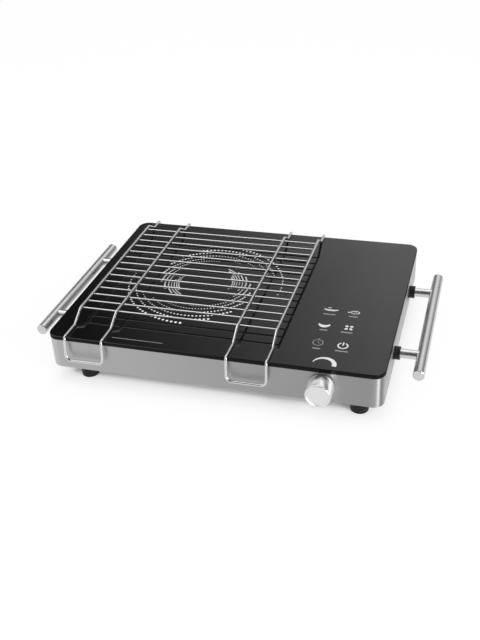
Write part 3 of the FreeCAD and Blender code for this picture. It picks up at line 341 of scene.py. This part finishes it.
dress("housing_steel", brushed(
    "brushed_housing_steel", (0.76, 0.76, 0.765), ALONG_THE_WALLS, 0.42, 0.85, painted_sheen=HOUSING_PAINTED_SHEEN,
))
dress("handle_steel", brushed("satin_handle_steel", (0.62, 0.62, 0.62), ALONG_THE_BAR, 0.25, 0.3))
dress("cover_steel", brushed("zinc_coated_sheet", (0.46, 0.47, 0.48), (40.0, 40.0, 40.0), 0.42))
screw_zinc = brushed("zinc_plated_screws", (0.58, 0.58, 0.55), UPRIGHT, 0.34)
dress("fixing_steel", screw_zinc)
dress("heater_steel", brushed("aluminised_dish", (0.52, 0.52, 0.53), (30.0, 30.0, 30.0), 0.38))
dress("ribbon_alloy", brushed("oxidised_ribbon", (0.24, 0.17, 0.13), (20.0, 20.0, 900.0), 0.5))
dress("heatsink_aluminium", brushed(
    "extruded_aluminium", (0.70, 0.71, 0.72), (1800.0, 30.0, 1800.0), 0.32,
))
dress("winding", brushed(
    "wound_copper_wire", (0.62, 0.29, 0.13), (40.0, 40.0, 3200.0), 0.3, depth=0.00008,
))

# %% [markdown]
# ## Bright plating
# Chrome on wire is a mirror that follows every small fault of the drawn wire under it. It needs a
# low roughness and a very shallow ripple, or it looks like plastic foil. The same recipe with more
# roughness serves cast, sleeved and machined metal, which are uneven in the same soft way.

# %% Plated finishes
HAZE_SHADE = 0.93
HAZE_SPREAD = 0.3


def plated(name, colour, roughness, ripple=0.000006, ripple_scale=500.0):
    """Metal with a soft haze and a shallow ripple instead of scratches."""
    material = new_finish(name, Metallic=1.0)
    place = place_in(material)
    drawn = place.noise(ripple_scale, detail=2.0)
    haze = place.noise(60.0, detail=3.0)
    drive(
        material,
        Base_Color=haze.blend(shade(colour, HAZE_SHADE), shade(colour, 1.0)),
        Roughness=haze.between(roughness * (1.0 - HAZE_SPREAD), roughness * (1.0 + HAZE_SPREAD)),
        Normal=bumped(drawn, ripple, 0.6),
    )
    return material


rack_chrome = plated("bright_plated_wire", (0.66, 0.66, 0.67), 0.13)
dress("rack_wire", rack_chrome)
dress("encoder_metal", plated("die_cast_encoder", (0.62, 0.62, 0.63), 0.4, 0.00002, 900.0))
dress("capacitor_can", plated("capacitor_sleeve", (0.10, 0.10, 0.12), 0.35))
dress("plated_brass", plated("machined_brass", (0.72, 0.55, 0.28), 0.25))

# %% [markdown]
# ## The knob
# One turned piece with two looks: a plated side, and a face that is finely turned so that it shines
# softly. The face lies at the knob's low-Y end. A mask from the Y place decides between the two,
# and rings round the knob's own axis draw the turning marks on the face. The side has such marks
# too, far too fine to draw. What they do is draw the shine out into long streaks, which the
# shader's anisotropy gives: light flanks and a darker top.

# %% The knob finish
FACE_DEPTH = 0.9 * MM
RINGS_PER_METRE = 9000.0
SIDE_PLATING = (0.90, 0.90, 0.91, 1.0)
FACE_PLATING = (0.74, 0.74, 0.75, 1.0)
knob_low, knob_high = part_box("knob")
knob_middle = (knob_low + knob_high) / 2
knob_chrome = new_finish("plated_knob", Metallic=1.0, Anisotropic=0.8)
place = place_in(knob_chrome)
on_face = place.part("Y") < knob_low.y + FACE_DEPTH
centred = place.node("VectorMath", {"operation": "SUBTRACT"}, {0: place, 1: tuple(knob_middle)})
from_axis = centred.stretched(1.0, 0.0, 1.0)
axis_distance = from_axis.node("VectorMath", {"operation": "LENGTH"}, {0: from_axis}, out="Value")
turned_rings = (axis_distance * RINGS_PER_METRE).math("SINE") * 0.5 + 0.5
side_haze = place.noise(120.0, detail=2.0)
drive(
    knob_chrome,
    Base_Color=on_face.blend(SIDE_PLATING, FACE_PLATING),
    Roughness=on_face * (turned_rings * 0.06 + 0.30) + (1.0 - on_face) * side_haze.between(0.36, 0.42),
    Normal=bumped(turned_rings * on_face, 0.000008),
)
dress("knob_chrome", knob_chrome)

# %% [markdown]
# ## Rubber, plastic, ceramic and boards
# The quiet finishes: each has one colour with a slight cloud in it, a roughness that wavers, and a
# shallow texture of its own grain. One function makes them all from a few numbers. Rubber feet and
# the black spacers drink up light, so their shine is turned down too.

# %% Moulded and pressed finishes
GRAIN_SWING = 0.06


def moulded(name, colour, roughness, grain_scale, grain_depth, tint=0.12, **constants):
    """A dull finish with a fine grain. The tint is how far its colour strays, as a share."""
    material = new_finish(name, **constants)
    place = place_in(material)
    grain = place.noise(grain_scale, detail=3.0)
    cloud = place.noise(25.0, detail=2.0)
    drive(
        material,
        Base_Color=cloud.blend(shade(colour, 1.0 - tint), shade(colour, 1.0 + tint)),
        Roughness=grain.between(roughness - GRAIN_SWING, roughness + GRAIN_SWING),
        Normal=bumped(grain, grain_depth),
    )
    return material


dress("foot_rubber", moulded(
    "rubber_foot", (0.008, 0.008, 0.008), 0.5, 900.0, 0.00002, Specular_IOR_Level=0.2,
))
dress("spacer_plastic", moulded(
    "black_spacer", (0.006, 0.006, 0.006), 0.4, 1200.0, 0.00001, Specular_IOR_Level=0.25,
))
dress("seal", moulded("silicone_seal", (0.018, 0.018, 0.018), 0.55, 1500.0, 0.00001))
dress("gland_plastic", moulded("black_nylon_gland", (0.022, 0.022, 0.023), 0.45, 1100.0, 0.00002))
dress("fan_plastic", moulded("black_fan_plastic", (0.025, 0.025, 0.026), 0.42, 1100.0, 0.00002))
dress("carrier_plastic", moulded("moulded_carrier", (0.06, 0.06, 0.062), 0.5, 1000.0, 0.00002))
dress("nylon", moulded("natural_nylon", (0.74, 0.71, 0.62), 0.45, 900.0, 0.00002, tint=0.04))
dress("relay_case", moulded("blue_relay_case", (0.03, 0.10, 0.33), 0.22, 700.0, 0.000005))
dress("transformer_core", moulded("taped_transformer", (0.50, 0.36, 0.08), 0.38, 500.0, 0.00004))
dress("lead_jacket", moulded("silicone_lead", (0.66, 0.63, 0.56), 0.5, 900.0, 0.00001, tint=0.05))
dress("insulation", moulded("pressed_insulation", (0.76, 0.73, 0.66), 0.85, 420.0, 0.00015, tint=0.08))
dress("limiter_ceramic", moulded("white_ceramic", (0.84, 0.82, 0.76), 0.28, 600.0, 0.00001, tint=0.03))

# %% [markdown]
# A circuit board is green lacquer over copper tracks. The tracks show as slightly lighter lines, so
# a grid of cells, each taken as track or gap by chance, is drawn into both colour and height.

# %% The circuit board finish
CELLS_PER_METRE = (300.0, 800.0, 300.0)
TRACK_EDGE = 0.42
GAP_GREEN = (0.012, 0.10, 0.040, 1.0)
TRACK_GREEN = (0.035, 0.19, 0.075, 1.0)
lacquer = new_finish("green_circuit_board", Roughness=0.3)
cells = place_in(lacquer).stretched(*CELLS_PER_METRE)
tracks = cells.node("TexVoronoi", {"distance": "CHEBYCHEV"}, {"Vector": cells, "Scale": 1.0}, out="Distance")
is_track = tracks > TRACK_EDGE
drive(lacquer, Base_Color=is_track.blend(GAP_GREEN, TRACK_GREEN), Normal=bumped(is_track, 0.00003))
dress("circuit_board", lacquer)

# %% [markdown]
# ## The print on the glass
# Cooking zone, keys and level arc are enamel, burnt into the glass and a hair thicker than a coat
# of paint. They could be drawn with a texture, but small crisp shapes need a huge picture. Flat
# mesh shapes a twentieth of a millimetre above the glass stay crisp from any distance. All of them
# are drawn with two tools: a dot that can be longer than wide, and a strip along a line of points.

# %% From a drawing to a piece
def beside(middle, right, back):
    """A flat point, counted from the middle of what is drawn."""
    return (middle[0] + right, middle[1] + back)


def finished_piece(name, drawn, finish):
    """Turn a drawn mesh into an object of the scene with one finish."""
    mesh = bpy.data.meshes.new(name)
    drawn.to_mesh(mesh)
    drawn.free()
    mesh.materials.append(finish)
    thing = bpy.data.objects.new(name, mesh)
    bpy.context.scene.collection.objects.link(thing)
    print(name, "has", len(mesh.polygons), "faces")
    return thing


def finished_print(name, sheet, finish):
    """Turn the drawn sheet into an object that faces up and rides on the cooktop."""
    bmesh.ops.recalc_face_normals(sheet, faces=sheet.faces)
    for face in sheet.faces:
        if face.normal.z < 0:
            face.normal_flip()
    thing = finished_piece(name, sheet, finish)
    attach(thing, "cooktop")


print("prints lie", PRINT_LIFT / MM, "mm above the glass")

# %% [markdown]
# The first tool lays a dash with round ends. It is one face, with five corners round each end,
# which is smooth enough for a mark of a few millimetres. One face for each dot keeps the mesh light.

# %% A tool for dots
DOT_END_CORNERS = 5


def lay_dot(sheet, centre, length, width, turn=0.0):
    """A round-ended dash, as one face. The turn is the direction of its length, in radians."""
    corners = []
    straight = max(length - width, 0.0) / 2
    for end, first in ((1, -90.0), (-1, 90.0)):
        for step in range(DOT_END_CORNERS):
            angle = math.radians(first + 180.0 * step / (DOT_END_CORNERS - 1))
            along = end * straight + math.cos(angle) * width / 2
            across = math.sin(angle) * width / 2
            spot = beside(centre, *turned(along, across, turn))
            corners.append(sheet.verts.new(on_glass(*spot)))
    sheet.faces.new(corners)


print("a dot has", 2 * DOT_END_CORNERS, "corners")

# %% [markdown]
# The second tool lays a strip through a line of points, with a width of its own at each. The width
# is laid across the direction from the point before to the point after, so the edges of the strip
# stay smooth round a bend. A closed strip joins its last point to its first. An arc is a list of
# such points, worked out from a middle, a radius and two angles.

# %% A tool for strips
ARC_POINTS = 24


def lay_strip(sheet, points, widths, closed=False):
    """A strip through the points, with one width for each of them."""
    count = len(points)
    rails = []
    for index, (x, y) in enumerate(points):
        before = points[(index - 1) % count] if closed or index else points[index]
        after = points[(index + 1) % count] if closed or index + 1 < count else points[index]
        run = math.hypot(after[0] - before[0], after[1] - before[1])
        across = ((before[1] - after[1]) / run, (after[0] - before[0]) / run)
        half = widths[index] / 2
        rails.append([
            sheet.verts.new(on_glass(x - across[0] * half, y - across[1] * half)),
            sheet.verts.new(on_glass(x + across[0] * half, y + across[1] * half)),
        ])
    for index in range(count if closed else count - 1):
        near, far = rails[index], rails[(index + 1) % count]
        sheet.faces.new([near[0], far[0], far[1], near[1]])


def arc(centre, radius, first, last, count=ARC_POINTS, squash=1.0):
    """Points along an arc between two angles in degrees. A squash flattens it front to back."""
    turns = [math.radians(first + (last - first) * step / (count - 1)) for step in range(count)]
    return [(centre[0] + radius * math.cos(t), centre[1] + radius * squash * math.sin(t)) for t in turns]


print("an arc has", ARC_POINTS, "points")

# %% [markdown]
# The enamel is a light grey that is a little uneven, as screen print is, and duller than the glass.
# The zone is laid on thickly, the keys less so, and the thin marks let the black show through.

# %% The enamel finish
SPECKLES_PER_METRE = 2500.0
DARK_SPECKLE = 0.85
LIGHT_SPECKLE = 1.1


def enamel(name, level):
    """Screen-printed enamel of one grey level with a fine speckle."""
    material = new_finish(name, IOR=1.5)
    speckle = place_in(material).noise(SPECKLES_PER_METRE, detail=2.0)
    drive(
        material,
        Base_Color=speckle.blend(grey(level * DARK_SPECKLE), grey(min(1.0, level * LIGHT_SPECKLE))),
        Roughness=speckle.between(0.35, 0.5),
    )
    return material


zone_enamel = enamel("enamel_cooking_zone", 0.86)
key_enamel = enamel("enamel_keys", 0.66)
thin_enamel = enamel("enamel_thin_marks", 0.24)
print("enamels:", ", ".join(made.name for made in (zone_enamel, key_enamel, thin_enamel)))

# %% [markdown]
# ## The cooking zone
# The zone is a swirl in two equal arms, one turned half round from the other. Its dots lie on
# common spokes, like the marks of a clock face, so a dot is a spoke and a radius. Each arc of an arm
# begins with small dots, runs anticlockwise seen from above, swells and stops short, and most
# arcs stop further round than the one outside them. Drawing spokes times radii by a loop keeps the
# pattern exact. One list holds for each arc of an arm its radius in millimetres, the angle in
# degrees at which it stops, and how many spokes long it is.

# %% Draw the dotted arcs
ZONE_MIDDLE = (-46.6, 0.9)
SPOKES = 108
ARM = [
    (88.8, 270.0, 30), (80.0, 290.0, 28), (73.0, 308.5, 32), (65.4, 327.0, 32), (58.2, 347.0, 32),
    (52.2, 365.0, 30), (47.2, 385.0, 18), (43.0, 403.0, 18), (39.5, 422.0, 19), (36.4, 418.0, 18),
    (33.6, 400.0, 16), (31.2, 393.0, 16),
]
FADE_BY_SPOKE = 0.019
DOT_LENGTH = 0.7
DOT_LENGTH_BY_RADIUS = 0.032
DOT_WIDTH_SHARE = 0.86
DOT_WIDTH_SHARE_BY_RADIUS = -0.0027


def lay_fading_arc(sheet, radius, last, count):
    """Dots from the arc's strong end at one angle, backwards from spoke to spoke, ever smaller."""
    spoke = 2 * math.pi / SPOKES
    length = DOT_LENGTH + radius * DOT_LENGTH_BY_RADIUS
    width = radius * spoke * (DOT_WIDTH_SHARE + DOT_WIDTH_SHARE_BY_RADIUS * radius)
    for step in range(count):
        size = 1.0 - FADE_BY_SPOKE * step
        turn = (round(math.radians(last) / spoke) - step) * spoke
        spot = beside(ZONE_MIDDLE, *turned(radius, 0.0, turn))
        lay_dot(sheet, spot, length * size, width * size, turn)


sheet = bmesh.new()
for half_turn in (0.0, 180.0):
    for radius, last, count in ARM:
        lay_fading_arc(sheet, radius, last + half_turn, count)
finished_print("cooking_zone_print", sheet, zone_enamel)

# %% [markdown]
# ## Keys
# Six touch keys stand in two columns, each with a plain symbol: a pan, a roast, a bowl, four
# petals, a clock and the power sign. Under each lies a short plain bar. The symbols are dashes and
# strips about a millimetre wide, and a strip that swells in its middle makes a bowl of an arc.
# Every symbol is drawn round its own middle, so it can be moved by two numbers.

# %% Draw the keys
LINE = 0.9
PAN = (106.2, -26.6)
ROAST = (132.4, -29.8)
BOWL = (105.0, -57.0)
PETALS = (131.2, -61.0)
POWER = (131.2, -95.4)
PETAL_DISTANCE = 3.5
PETAL_LENGTH = 3.9
PETAL_WIDTH = 3.1


def lay_line(sheet, points, width=LINE, closed=False):
    """A line of one width through the points."""
    lay_strip(sheet, points, [width] * len(points), closed)


def swelling(thin, thick):
    """Widths for an arc that start thin, swell to thick half way and end thin."""
    rises = [math.sin(math.pi * step / (ARC_POINTS - 1)) for step in range(ARC_POINTS)]
    return [thin + (thick - thin) * rise for rise in rises]


sheet = bmesh.new()
# The pan is a shallow arc that swells to its floor, with a dash over it.
lay_strip(sheet, arc(PAN, 8.6, 203.0, 337.0, squash=0.42), swelling(0.7, 2.8))
lay_dot(sheet, beside(PAN, -2.0, 1.2), 4.0, 1.2)
# The roast is an oval with a small arc in it and a dash for the bone on its left.
lay_line(sheet, arc(ROAST, 4.6, 0.0, 345.0, squash=0.62), closed=True)
lay_line(sheet, arc(ROAST, 1.8, 20.0, 160.0, squash=0.8), 0.7)
lay_dot(sheet, beside(ROAST, -5.8, -0.6), 4.6, 1.5)
# The bowl is the lower half of a circle, thickest at its floor.
lay_strip(sheet, arc(BOWL, 6.0, 196.0, 344.0), swelling(1.2, 4.6))
# The four petals stand round their middle, half way between the directions of the plate's edges.
for quarter in range(4):
    turn = math.radians(45.0 + 90.0 * quarter)
    spot = beside(PETALS, *turned(PETAL_DISTANCE, 0.0, turn))
    lay_dot(sheet, spot, PETAL_LENGTH, PETAL_WIDTH, turn)
# The power sign is a ring that is open at the back, with a short line in the opening.
lay_line(sheet, arc(POWER, 4.9, 118.0, 422.0), 1.5)
lay_line(sheet, [beside(POWER, 0.0, 6.2), beside(POWER, 0.0, 0.4)], 1.4)
finished_print("key_symbols", sheet, key_enamel)

# %% [markdown]
# The clock, the bars under the keys and one long line near the front edge of the glass are printed
# thinner and look dimmer, so they share a darker enamel. Each bar is a middle and a length.

# %% Draw the thin marks
BARS = [
    (106.0, -38.6, 13.0), (131.7, -38.6, 9.6), (106.0, -70.2, 8.4),
    (130.4, -70.4, 12.0), (105.8, -105.4, 8.0), (131.4, -105.4, 13.2),
]
BAR_WIDTH = 1.9
CLOCK = (105.4, -94.6)
LONG_LINE = [(-108.0, -129.6), (-51.2, -129.6)]
sheet = bmesh.new()
for x, y, length in BARS:
    lay_line(sheet, [(x - length / 2, y), (x + length / 2, y)], BAR_WIDTH)
# The clock is a ring with two hands and a button at the back.
lay_line(sheet, arc(CLOCK, 5.2, 0.0, 345.0), closed=True)
lay_line(sheet, [beside(CLOCK, 0.0, 2.9), CLOCK, beside(CLOCK, 2.1, -1.0)], 0.8)
lay_line(sheet, [beside(CLOCK, 0.0, 5.2), beside(CLOCK, 0.0, 7.4)], 1.6)
lay_line(sheet, LONG_LINE)
finished_print("thin_marks", sheet, thin_enamel)

# %% [markdown]
# ## The level arc
# In front of the keys, above the knob, an arc that grows from a hair line to a broad end shows
# which way the knob raises the heat. It is one strip whose width rises quickly at first, like the
# first quarter of a wave. The angles of its two ends are in degrees, and its widths in millimetres.

# %% Draw the level arc
LEVEL_MIDDLE = (118.2, -131.6)
LEVEL_RADIUS = 11.0
LEVEL_POINTS = 48
HAIR_LINE_END = 168.0
BROAD_END = -8.0
HAIR_LINE = 0.8
WIDTH_GAIN = 3.7
sheet = bmesh.new()
points = arc(LEVEL_MIDDLE, LEVEL_RADIUS, HAIR_LINE_END, BROAD_END, count=LEVEL_POINTS)
rises = [math.sin(math.pi / 2 * step / (LEVEL_POINTS - 1)) for step in range(LEVEL_POINTS)]
lay_strip(sheet, points, [HAIR_LINE + WIDTH_GAIN * rise for rise in rises])
finished_print("level_arc", sheet, key_enamel)

# %% [markdown]
# ## Weld beads on the grill rack
# The cross wires are spot-welded under the long wires. Each weld squeezes out a little collar of
# metal. A small sphere, flattened and roughened by chance, sits in every crossing. The crossings
# follow from the boxes of the wires, so the beads move with the rack if its size changes.

# %% Lay the weld beads
CROSS_WIRE = 2.0 * MM
CROSS_COUNT = 14
LONG_WIRE = 3.0 * MM
WELD_RISE = 0.02 * MM
BEAD_HALF_SIZE = (1.25 * MM, 1.05 * MM, 0.5 * MM)
SWELL_RANGE = (0.93, 1.07)
cross_low, cross_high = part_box("rack_crossbars")
first_y = cross_low.y + CROSS_WIRE / 2
last_y = cross_high.y - CROSS_WIRE / 2
weld_z = cross_high.z + WELD_RISE
long_wires = []
for name in ("rack_frame_left", "rack_frame_right"):
    low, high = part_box(name)
    long_wires += [low.x + LONG_WIRE / 2, high.x - LONG_WIRE / 2]

chance = random.Random(7)
beads = bmesh.new()
for step in range(CROSS_COUNT):
    y = first_y + (last_y - first_y) * step / (CROSS_COUNT - 1)
    for x in long_wires:
        made = bmesh.ops.create_icosphere(beads, subdivisions=2, radius=1.0)
        for corner in made["verts"]:
            swell = chance.uniform(*SWELL_RANGE)
            corner.co = Vector((
                x + corner.co.x * BEAD_HALF_SIZE[0] * swell,
                y + corner.co.y * BEAD_HALF_SIZE[1] * swell,
                weld_z + corner.co.z * BEAD_HALF_SIZE[2],
            ))
rack_welds = finished_piece("rack_welds", beads, rack_chrome)
rack_welds.data.shade_smooth()
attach(rack_welds, "rack")
print("weld beads:", CROSS_COUNT * len(long_wires))

# %% [markdown]
# ## Cross recesses of the screws
# The screws under the cooktop have heads with a cross recess for the screwdriver. The solids have
# plain heads, and all screws of one kind are one solid. So each head has to be found first: its
# corners lie in the solid's lowest plane, and corners that lie near each other are one head.

# %% Find the screw heads
SCREW_NODES = ("cover_screws", "foot_screws")
SAME_PLANE = 0.02 * MM
SAME_HEAD = 12 * MM


def screw_heads(node):
    """Middle and radius of each screw head of a node, from the corners in its lowest plane."""
    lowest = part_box(node)[0].z
    heads = []
    for corner in bpy.data.objects[node].data.vertices:
        if corner.co.z > lowest + SAME_PLANE:
            continue
        near = [head for head in heads if (head[0] - corner.co).length < SAME_HEAD]
        if near:
            near[0].append(corner.co.copy())
        else:
            heads.append([corner.co.copy()])
    middles = [sum(head, Vector()) / len(head) for head in heads]
    return [(middle, max((spot - middle).length for spot in head)) for middle, head in zip(middles, heads)]


heads_found = []
for node in SCREW_NODES:
    heads = screw_heads(node)
    heads_found += heads
    print(node, "has", len(heads), "heads of radius", round(heads[0][1] / MM, 2), "mm")

# %% [markdown]
# A thin round plate with a cross-shaped opening lies on each head, so the head's own face is the
# floor of the recess. The room between the outlines of the rim and of the cross is filled with
# triangles, and the sheet is then pulled down to its thickness. A quarter of the cross is three
# points, and four turns make the whole. No two screws stop at the same turn, so chance turns each.

# %% Lay the cross recesses
RECESS_DEPTH = 0.7 * MM
RIM_CORNERS = 32
ARM_LENGTH = 0.60
ARM_HALF_WIDTH = 0.13
QUARTER_CROSS = [
    (ARM_HALF_WIDTH, ARM_HALF_WIDTH), (ARM_LENGTH, ARM_HALF_WIDTH), (ARM_LENGTH, -ARM_HALF_WIDTH),
]


def lay_ring(plates, middle, radius, outline):
    """A closed line of edges. The outline is given for a radius of one."""
    corners = [plates.verts.new(middle + Vector((x * radius, y * radius, 0.0))) for x, y in outline]
    return [plates.edges.new((corners[step - 1], corners[step])) for step in range(len(corners))]


def lay_recess_plate(plates, middle, radius, turn):
    """A round plate with a cross-shaped opening, under one screw head."""
    rim = [turned(1.0, 0.0, 2 * math.pi * step / RIM_CORNERS) for step in range(RIM_CORNERS)]
    quarters = [turn - quarter * math.pi / 2 for quarter in range(4)]
    cross = [turned(x, y, quarter) for quarter in quarters for x, y in QUARTER_CROSS]
    edges = lay_ring(plates, middle, radius, rim) + lay_ring(plates, middle, radius, cross)
    filled = bmesh.ops.triangle_fill(plates, edges=edges, use_beauty=True)
    faces = [made for made in filled["geom"] if isinstance(made, bmesh.types.BMFace)]
    bmesh.ops.recalc_face_normals(plates, faces=faces)
    under = bmesh.ops.extrude_face_region(plates, geom=faces, use_keep_orig=True)
    for made in under["geom"]:
        if isinstance(made, bmesh.types.BMVert):
            made.co.z -= RECESS_DEPTH


plates = bmesh.new()
chance = random.Random(11)
for middle, radius in heads_found:
    lay_recess_plate(plates, middle, radius, chance.uniform(0.0, math.pi / 2))
bmesh.ops.recalc_face_normals(plates, faces=plates.faces)
recess_plates = finished_piece("screw_recess_plates", plates, screw_zinc)
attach(recess_plates, "cooktop")

# %% [markdown]
# ## What the camera sees and what a mirror shows
# A studio can be lit evenly and still look different in a mirror. The Light Path node tells which
# kind of ray has arrived: one straight from the camera, or one that a mirror or a pane sent on. The
# floor and the room below both ask it, so the question is put in one place.

# %% Tell the rays apart
RAY_KINDS = ("Is Camera Ray", "Is Glossy Ray", "Is Transmission Ray")


def kinds_of_ray(signal):
    """Two signals: 1 for rays straight from the camera, and 1 for rays a mirror or a pane sent on."""
    light_path = signal.node("LightPath")
    straight, mirrored, passed = [light_path.output(kind) for kind in RAY_KINDS]
    return straight, mirrored.math("MAXIMUM", passed)


print("rays are told apart by:", ", ".join(RAY_KINDS))

# %% [markdown]
# ## The studio floor
# A large sheet of pale paper takes a soft shadow and disappears into a white background. To the
# camera and in reflections the paper also shines by itself: little under the cooktop, where its
# shadow is wanted, and more the further the paper lies from it, until it is nearly white. The
# distance is taken from a rectangle a little smaller than the housing. The light that the paper
# throws on the cooktop comes from plain paper all the same.

# %% Floor
FLOOR_HALF = 9.0
FOOTPRINT_HALF = (0.180, 0.140)
GLOW_INSET = 0.02
GLOW_SPREAD = 0.1
GLOW_BY_DISTANCE = [(0.0, 0.10), (0.05, 0.42), (0.10, 0.60), (0.20, 0.70), (0.32, 0.86), (0.50, 0.93)]
floor_paper = new_finish("studio_paper", Roughness=0.9, Specular_IOR_Level=0.1)
place = place_in(floor_paper)
drive(floor_paper, Base_Color=place.noise(3.0).blend(grey(0.90), grey(0.92)))
sideways = place.part("X").math("ABSOLUTE") - (FOOTPRINT_HALF[0] - GLOW_INSET)
lengthways = place.part("Y").math("ABSOLUTE") - (FOOTPRINT_HALF[1] - GLOW_INSET)
sideways = sideways.math("MAXIMUM", 0.0)
lengthways = lengthways.math("MAXIMUM", 0.0)
away = (sideways * sideways + lengthways * lengthways).math("SQRT")
glow_share = (away * (1.0 / GLOW_SPREAD)).ramp(GLOW_BY_DISTANCE)
from_camera, from_mirror = kinds_of_ray(place)
plain = Signal(floor_paper.node_tree, floor_paper.node_tree.nodes["Principled BSDF"].outputs[0])
glow = plain.node("Emission", {}, {"Color": grey(1.0), "Strength": 1.0})
shares = glow_share * from_camera.math("MAXIMUM", from_mirror)
shown = plain.node("MixShader", {}, {0: shares, 1: plain, 2: glow})
surface = floor_paper.node_tree.nodes["Material Output"].inputs["Surface"]
floor_paper.node_tree.links.new(shown.socket, surface)
floor_sheet = bmesh.new()
bmesh.ops.create_grid(floor_sheet, x_segments=8, y_segments=8, size=FLOOR_HALF)
studio_floor = finished_piece("studio_floor", floor_sheet, floor_paper)

# %% [markdown]
# ## The studio room
# Even light from all round keeps colours as they are written. Polished glass, chrome and steel show
# the room, so the room matters to them. It is painted into the world by compass bearing, from -180
# to 180 degrees with 0 straight away from the user. Going round from there to the right: a bright
# wall, a dim side, a bright panel at the front right, and darkness where the camera stands. Then a
# bright wall all along the left, a dim gap in it, and a dark cloth behind on the left, which keeps
# the left half of the glass black. All of it grows darker towards the skirting. Only mirror-like
# rays see the room: the camera sees plain white behind the cooktop, and all other rays even light.

# %% World
DAYLIGHT = 0.80
ROOM_BY_BEARING = [
    (-180, 0.05), (-156, 0.1), (-148, 0.9), (-140, 1.3), (-100, 1.2), (-70, 1.1), (-60, 0.35),
    (-48, 0.35), (-40, 0.8), (-34, 0.05), (-29, 0.05), (-18, 0.40), (-7, 0.95), (8, 1.1),
    (25, 0.7), (38, 0.25), (100, 0.15), (108, 1.0), (136, 1.0), (144, 0.0), (180, 0.0),
]
SKIRTING_BY_HEIGHT = [(0.0, 0.45), (0.12, 0.5), (0.34, 1.0)]
world = bpy.data.worlds.new("studio_room")
bpy.context.scene.world = world
world.use_nodes = True
background = world.node_tree.nodes["Background"]
direction = Signal(world.node_tree).node("TexCoord", out="Generated")
bearing = direction.part("X").math("ARCTAN2", direction.part("Y")) * (0.5 / math.pi) + 0.5
walls = bearing.ramp([(degrees / 360.0 + 0.5, level) for degrees, level in ROOM_BY_BEARING])
room = walls.tinted(direction.part("Z").ramp(SKIRTING_BY_HEIGHT))
from_camera, from_mirror = kinds_of_ray(direction)
seen = from_camera.blend(from_mirror.blend(grey(DAYLIGHT), room), grey(1.0))
world.node_tree.links.new(seen.socket, background.inputs["Color"])
print("room painted with", len(ROOM_BY_BEARING), "bearings")

# %% [markdown]
# Two lamps model the edges: a broad soft one high behind on the left, which throws the light
# shadow to the front and right, and a narrow upright one far out at the front right, which draws
# the bright line down the rounded steel corner.

# %% Lamps
def hang_softbox(name, spot, aim, width, height, watts):
    """A rectangular lamp that hangs at a spot and points at an aim."""
    lamp = bpy.data.lights.new(name, "AREA")
    lamp.shape = "RECTANGLE"
    lamp.size = width
    lamp.size_y = height
    lamp.energy = watts
    thing = bpy.data.objects.new(name, lamp)
    bpy.context.scene.collection.objects.link(thing)
    thing.location = spot
    thing.rotation_euler = (Vector(aim) - Vector(spot)).to_track_quat("-Z", "Y").to_euler()
    print(name, "burns", watts, "watts")


hang_softbox("lamp_above", (-0.5, 0.5, 1.7), (0.0, 0.0, 0.0), width=1.6, height=1.2, watts=9.0)
hang_softbox("lamp_strip", (1.3, -0.9, 0.5), (0.1, 0.0, 0.03), width=0.20, height=1.0, watts=19.0)

# %% [markdown]
# ## The camera
# It stands in front of the cooktop to the right and looks down at it by about a third of a right
# angle, with a slight tilt to the side. The three angles are in radians, the lens in millimetres.

# %% Camera
CAMERA_SPOT = (0.26063, -0.82426, 0.55133)
YAW = 0.31348
PITCH = 0.55728
ROLL = -0.05796
LENS_LENGTH = 49.30
SENSOR_WIDTH = 36.0
lens = bpy.data.cameras.new("studio_camera")
lens.lens = LENS_LENGTH
lens.sensor_width = SENSOR_WIDTH
camera = bpy.data.objects.new("studio_camera", lens)
bpy.context.scene.collection.objects.link(camera)
turned_left = Matrix.Rotation(YAW, 4, "Z")
tipped_down = Matrix.Rotation(math.pi / 2 - PITCH, 4, "X")
rolled = Matrix.Rotation(ROLL, 4, "Z")
camera.matrix_world = Matrix.Translation(CAMERA_SPOT) @ turned_left @ tipped_down @ rolled
bpy.context.scene.camera = camera
bpy.context.scene.view_settings.view_transform = "Standard"
print("camera", round(math.degrees(PITCH), 1), "degrees above the table")
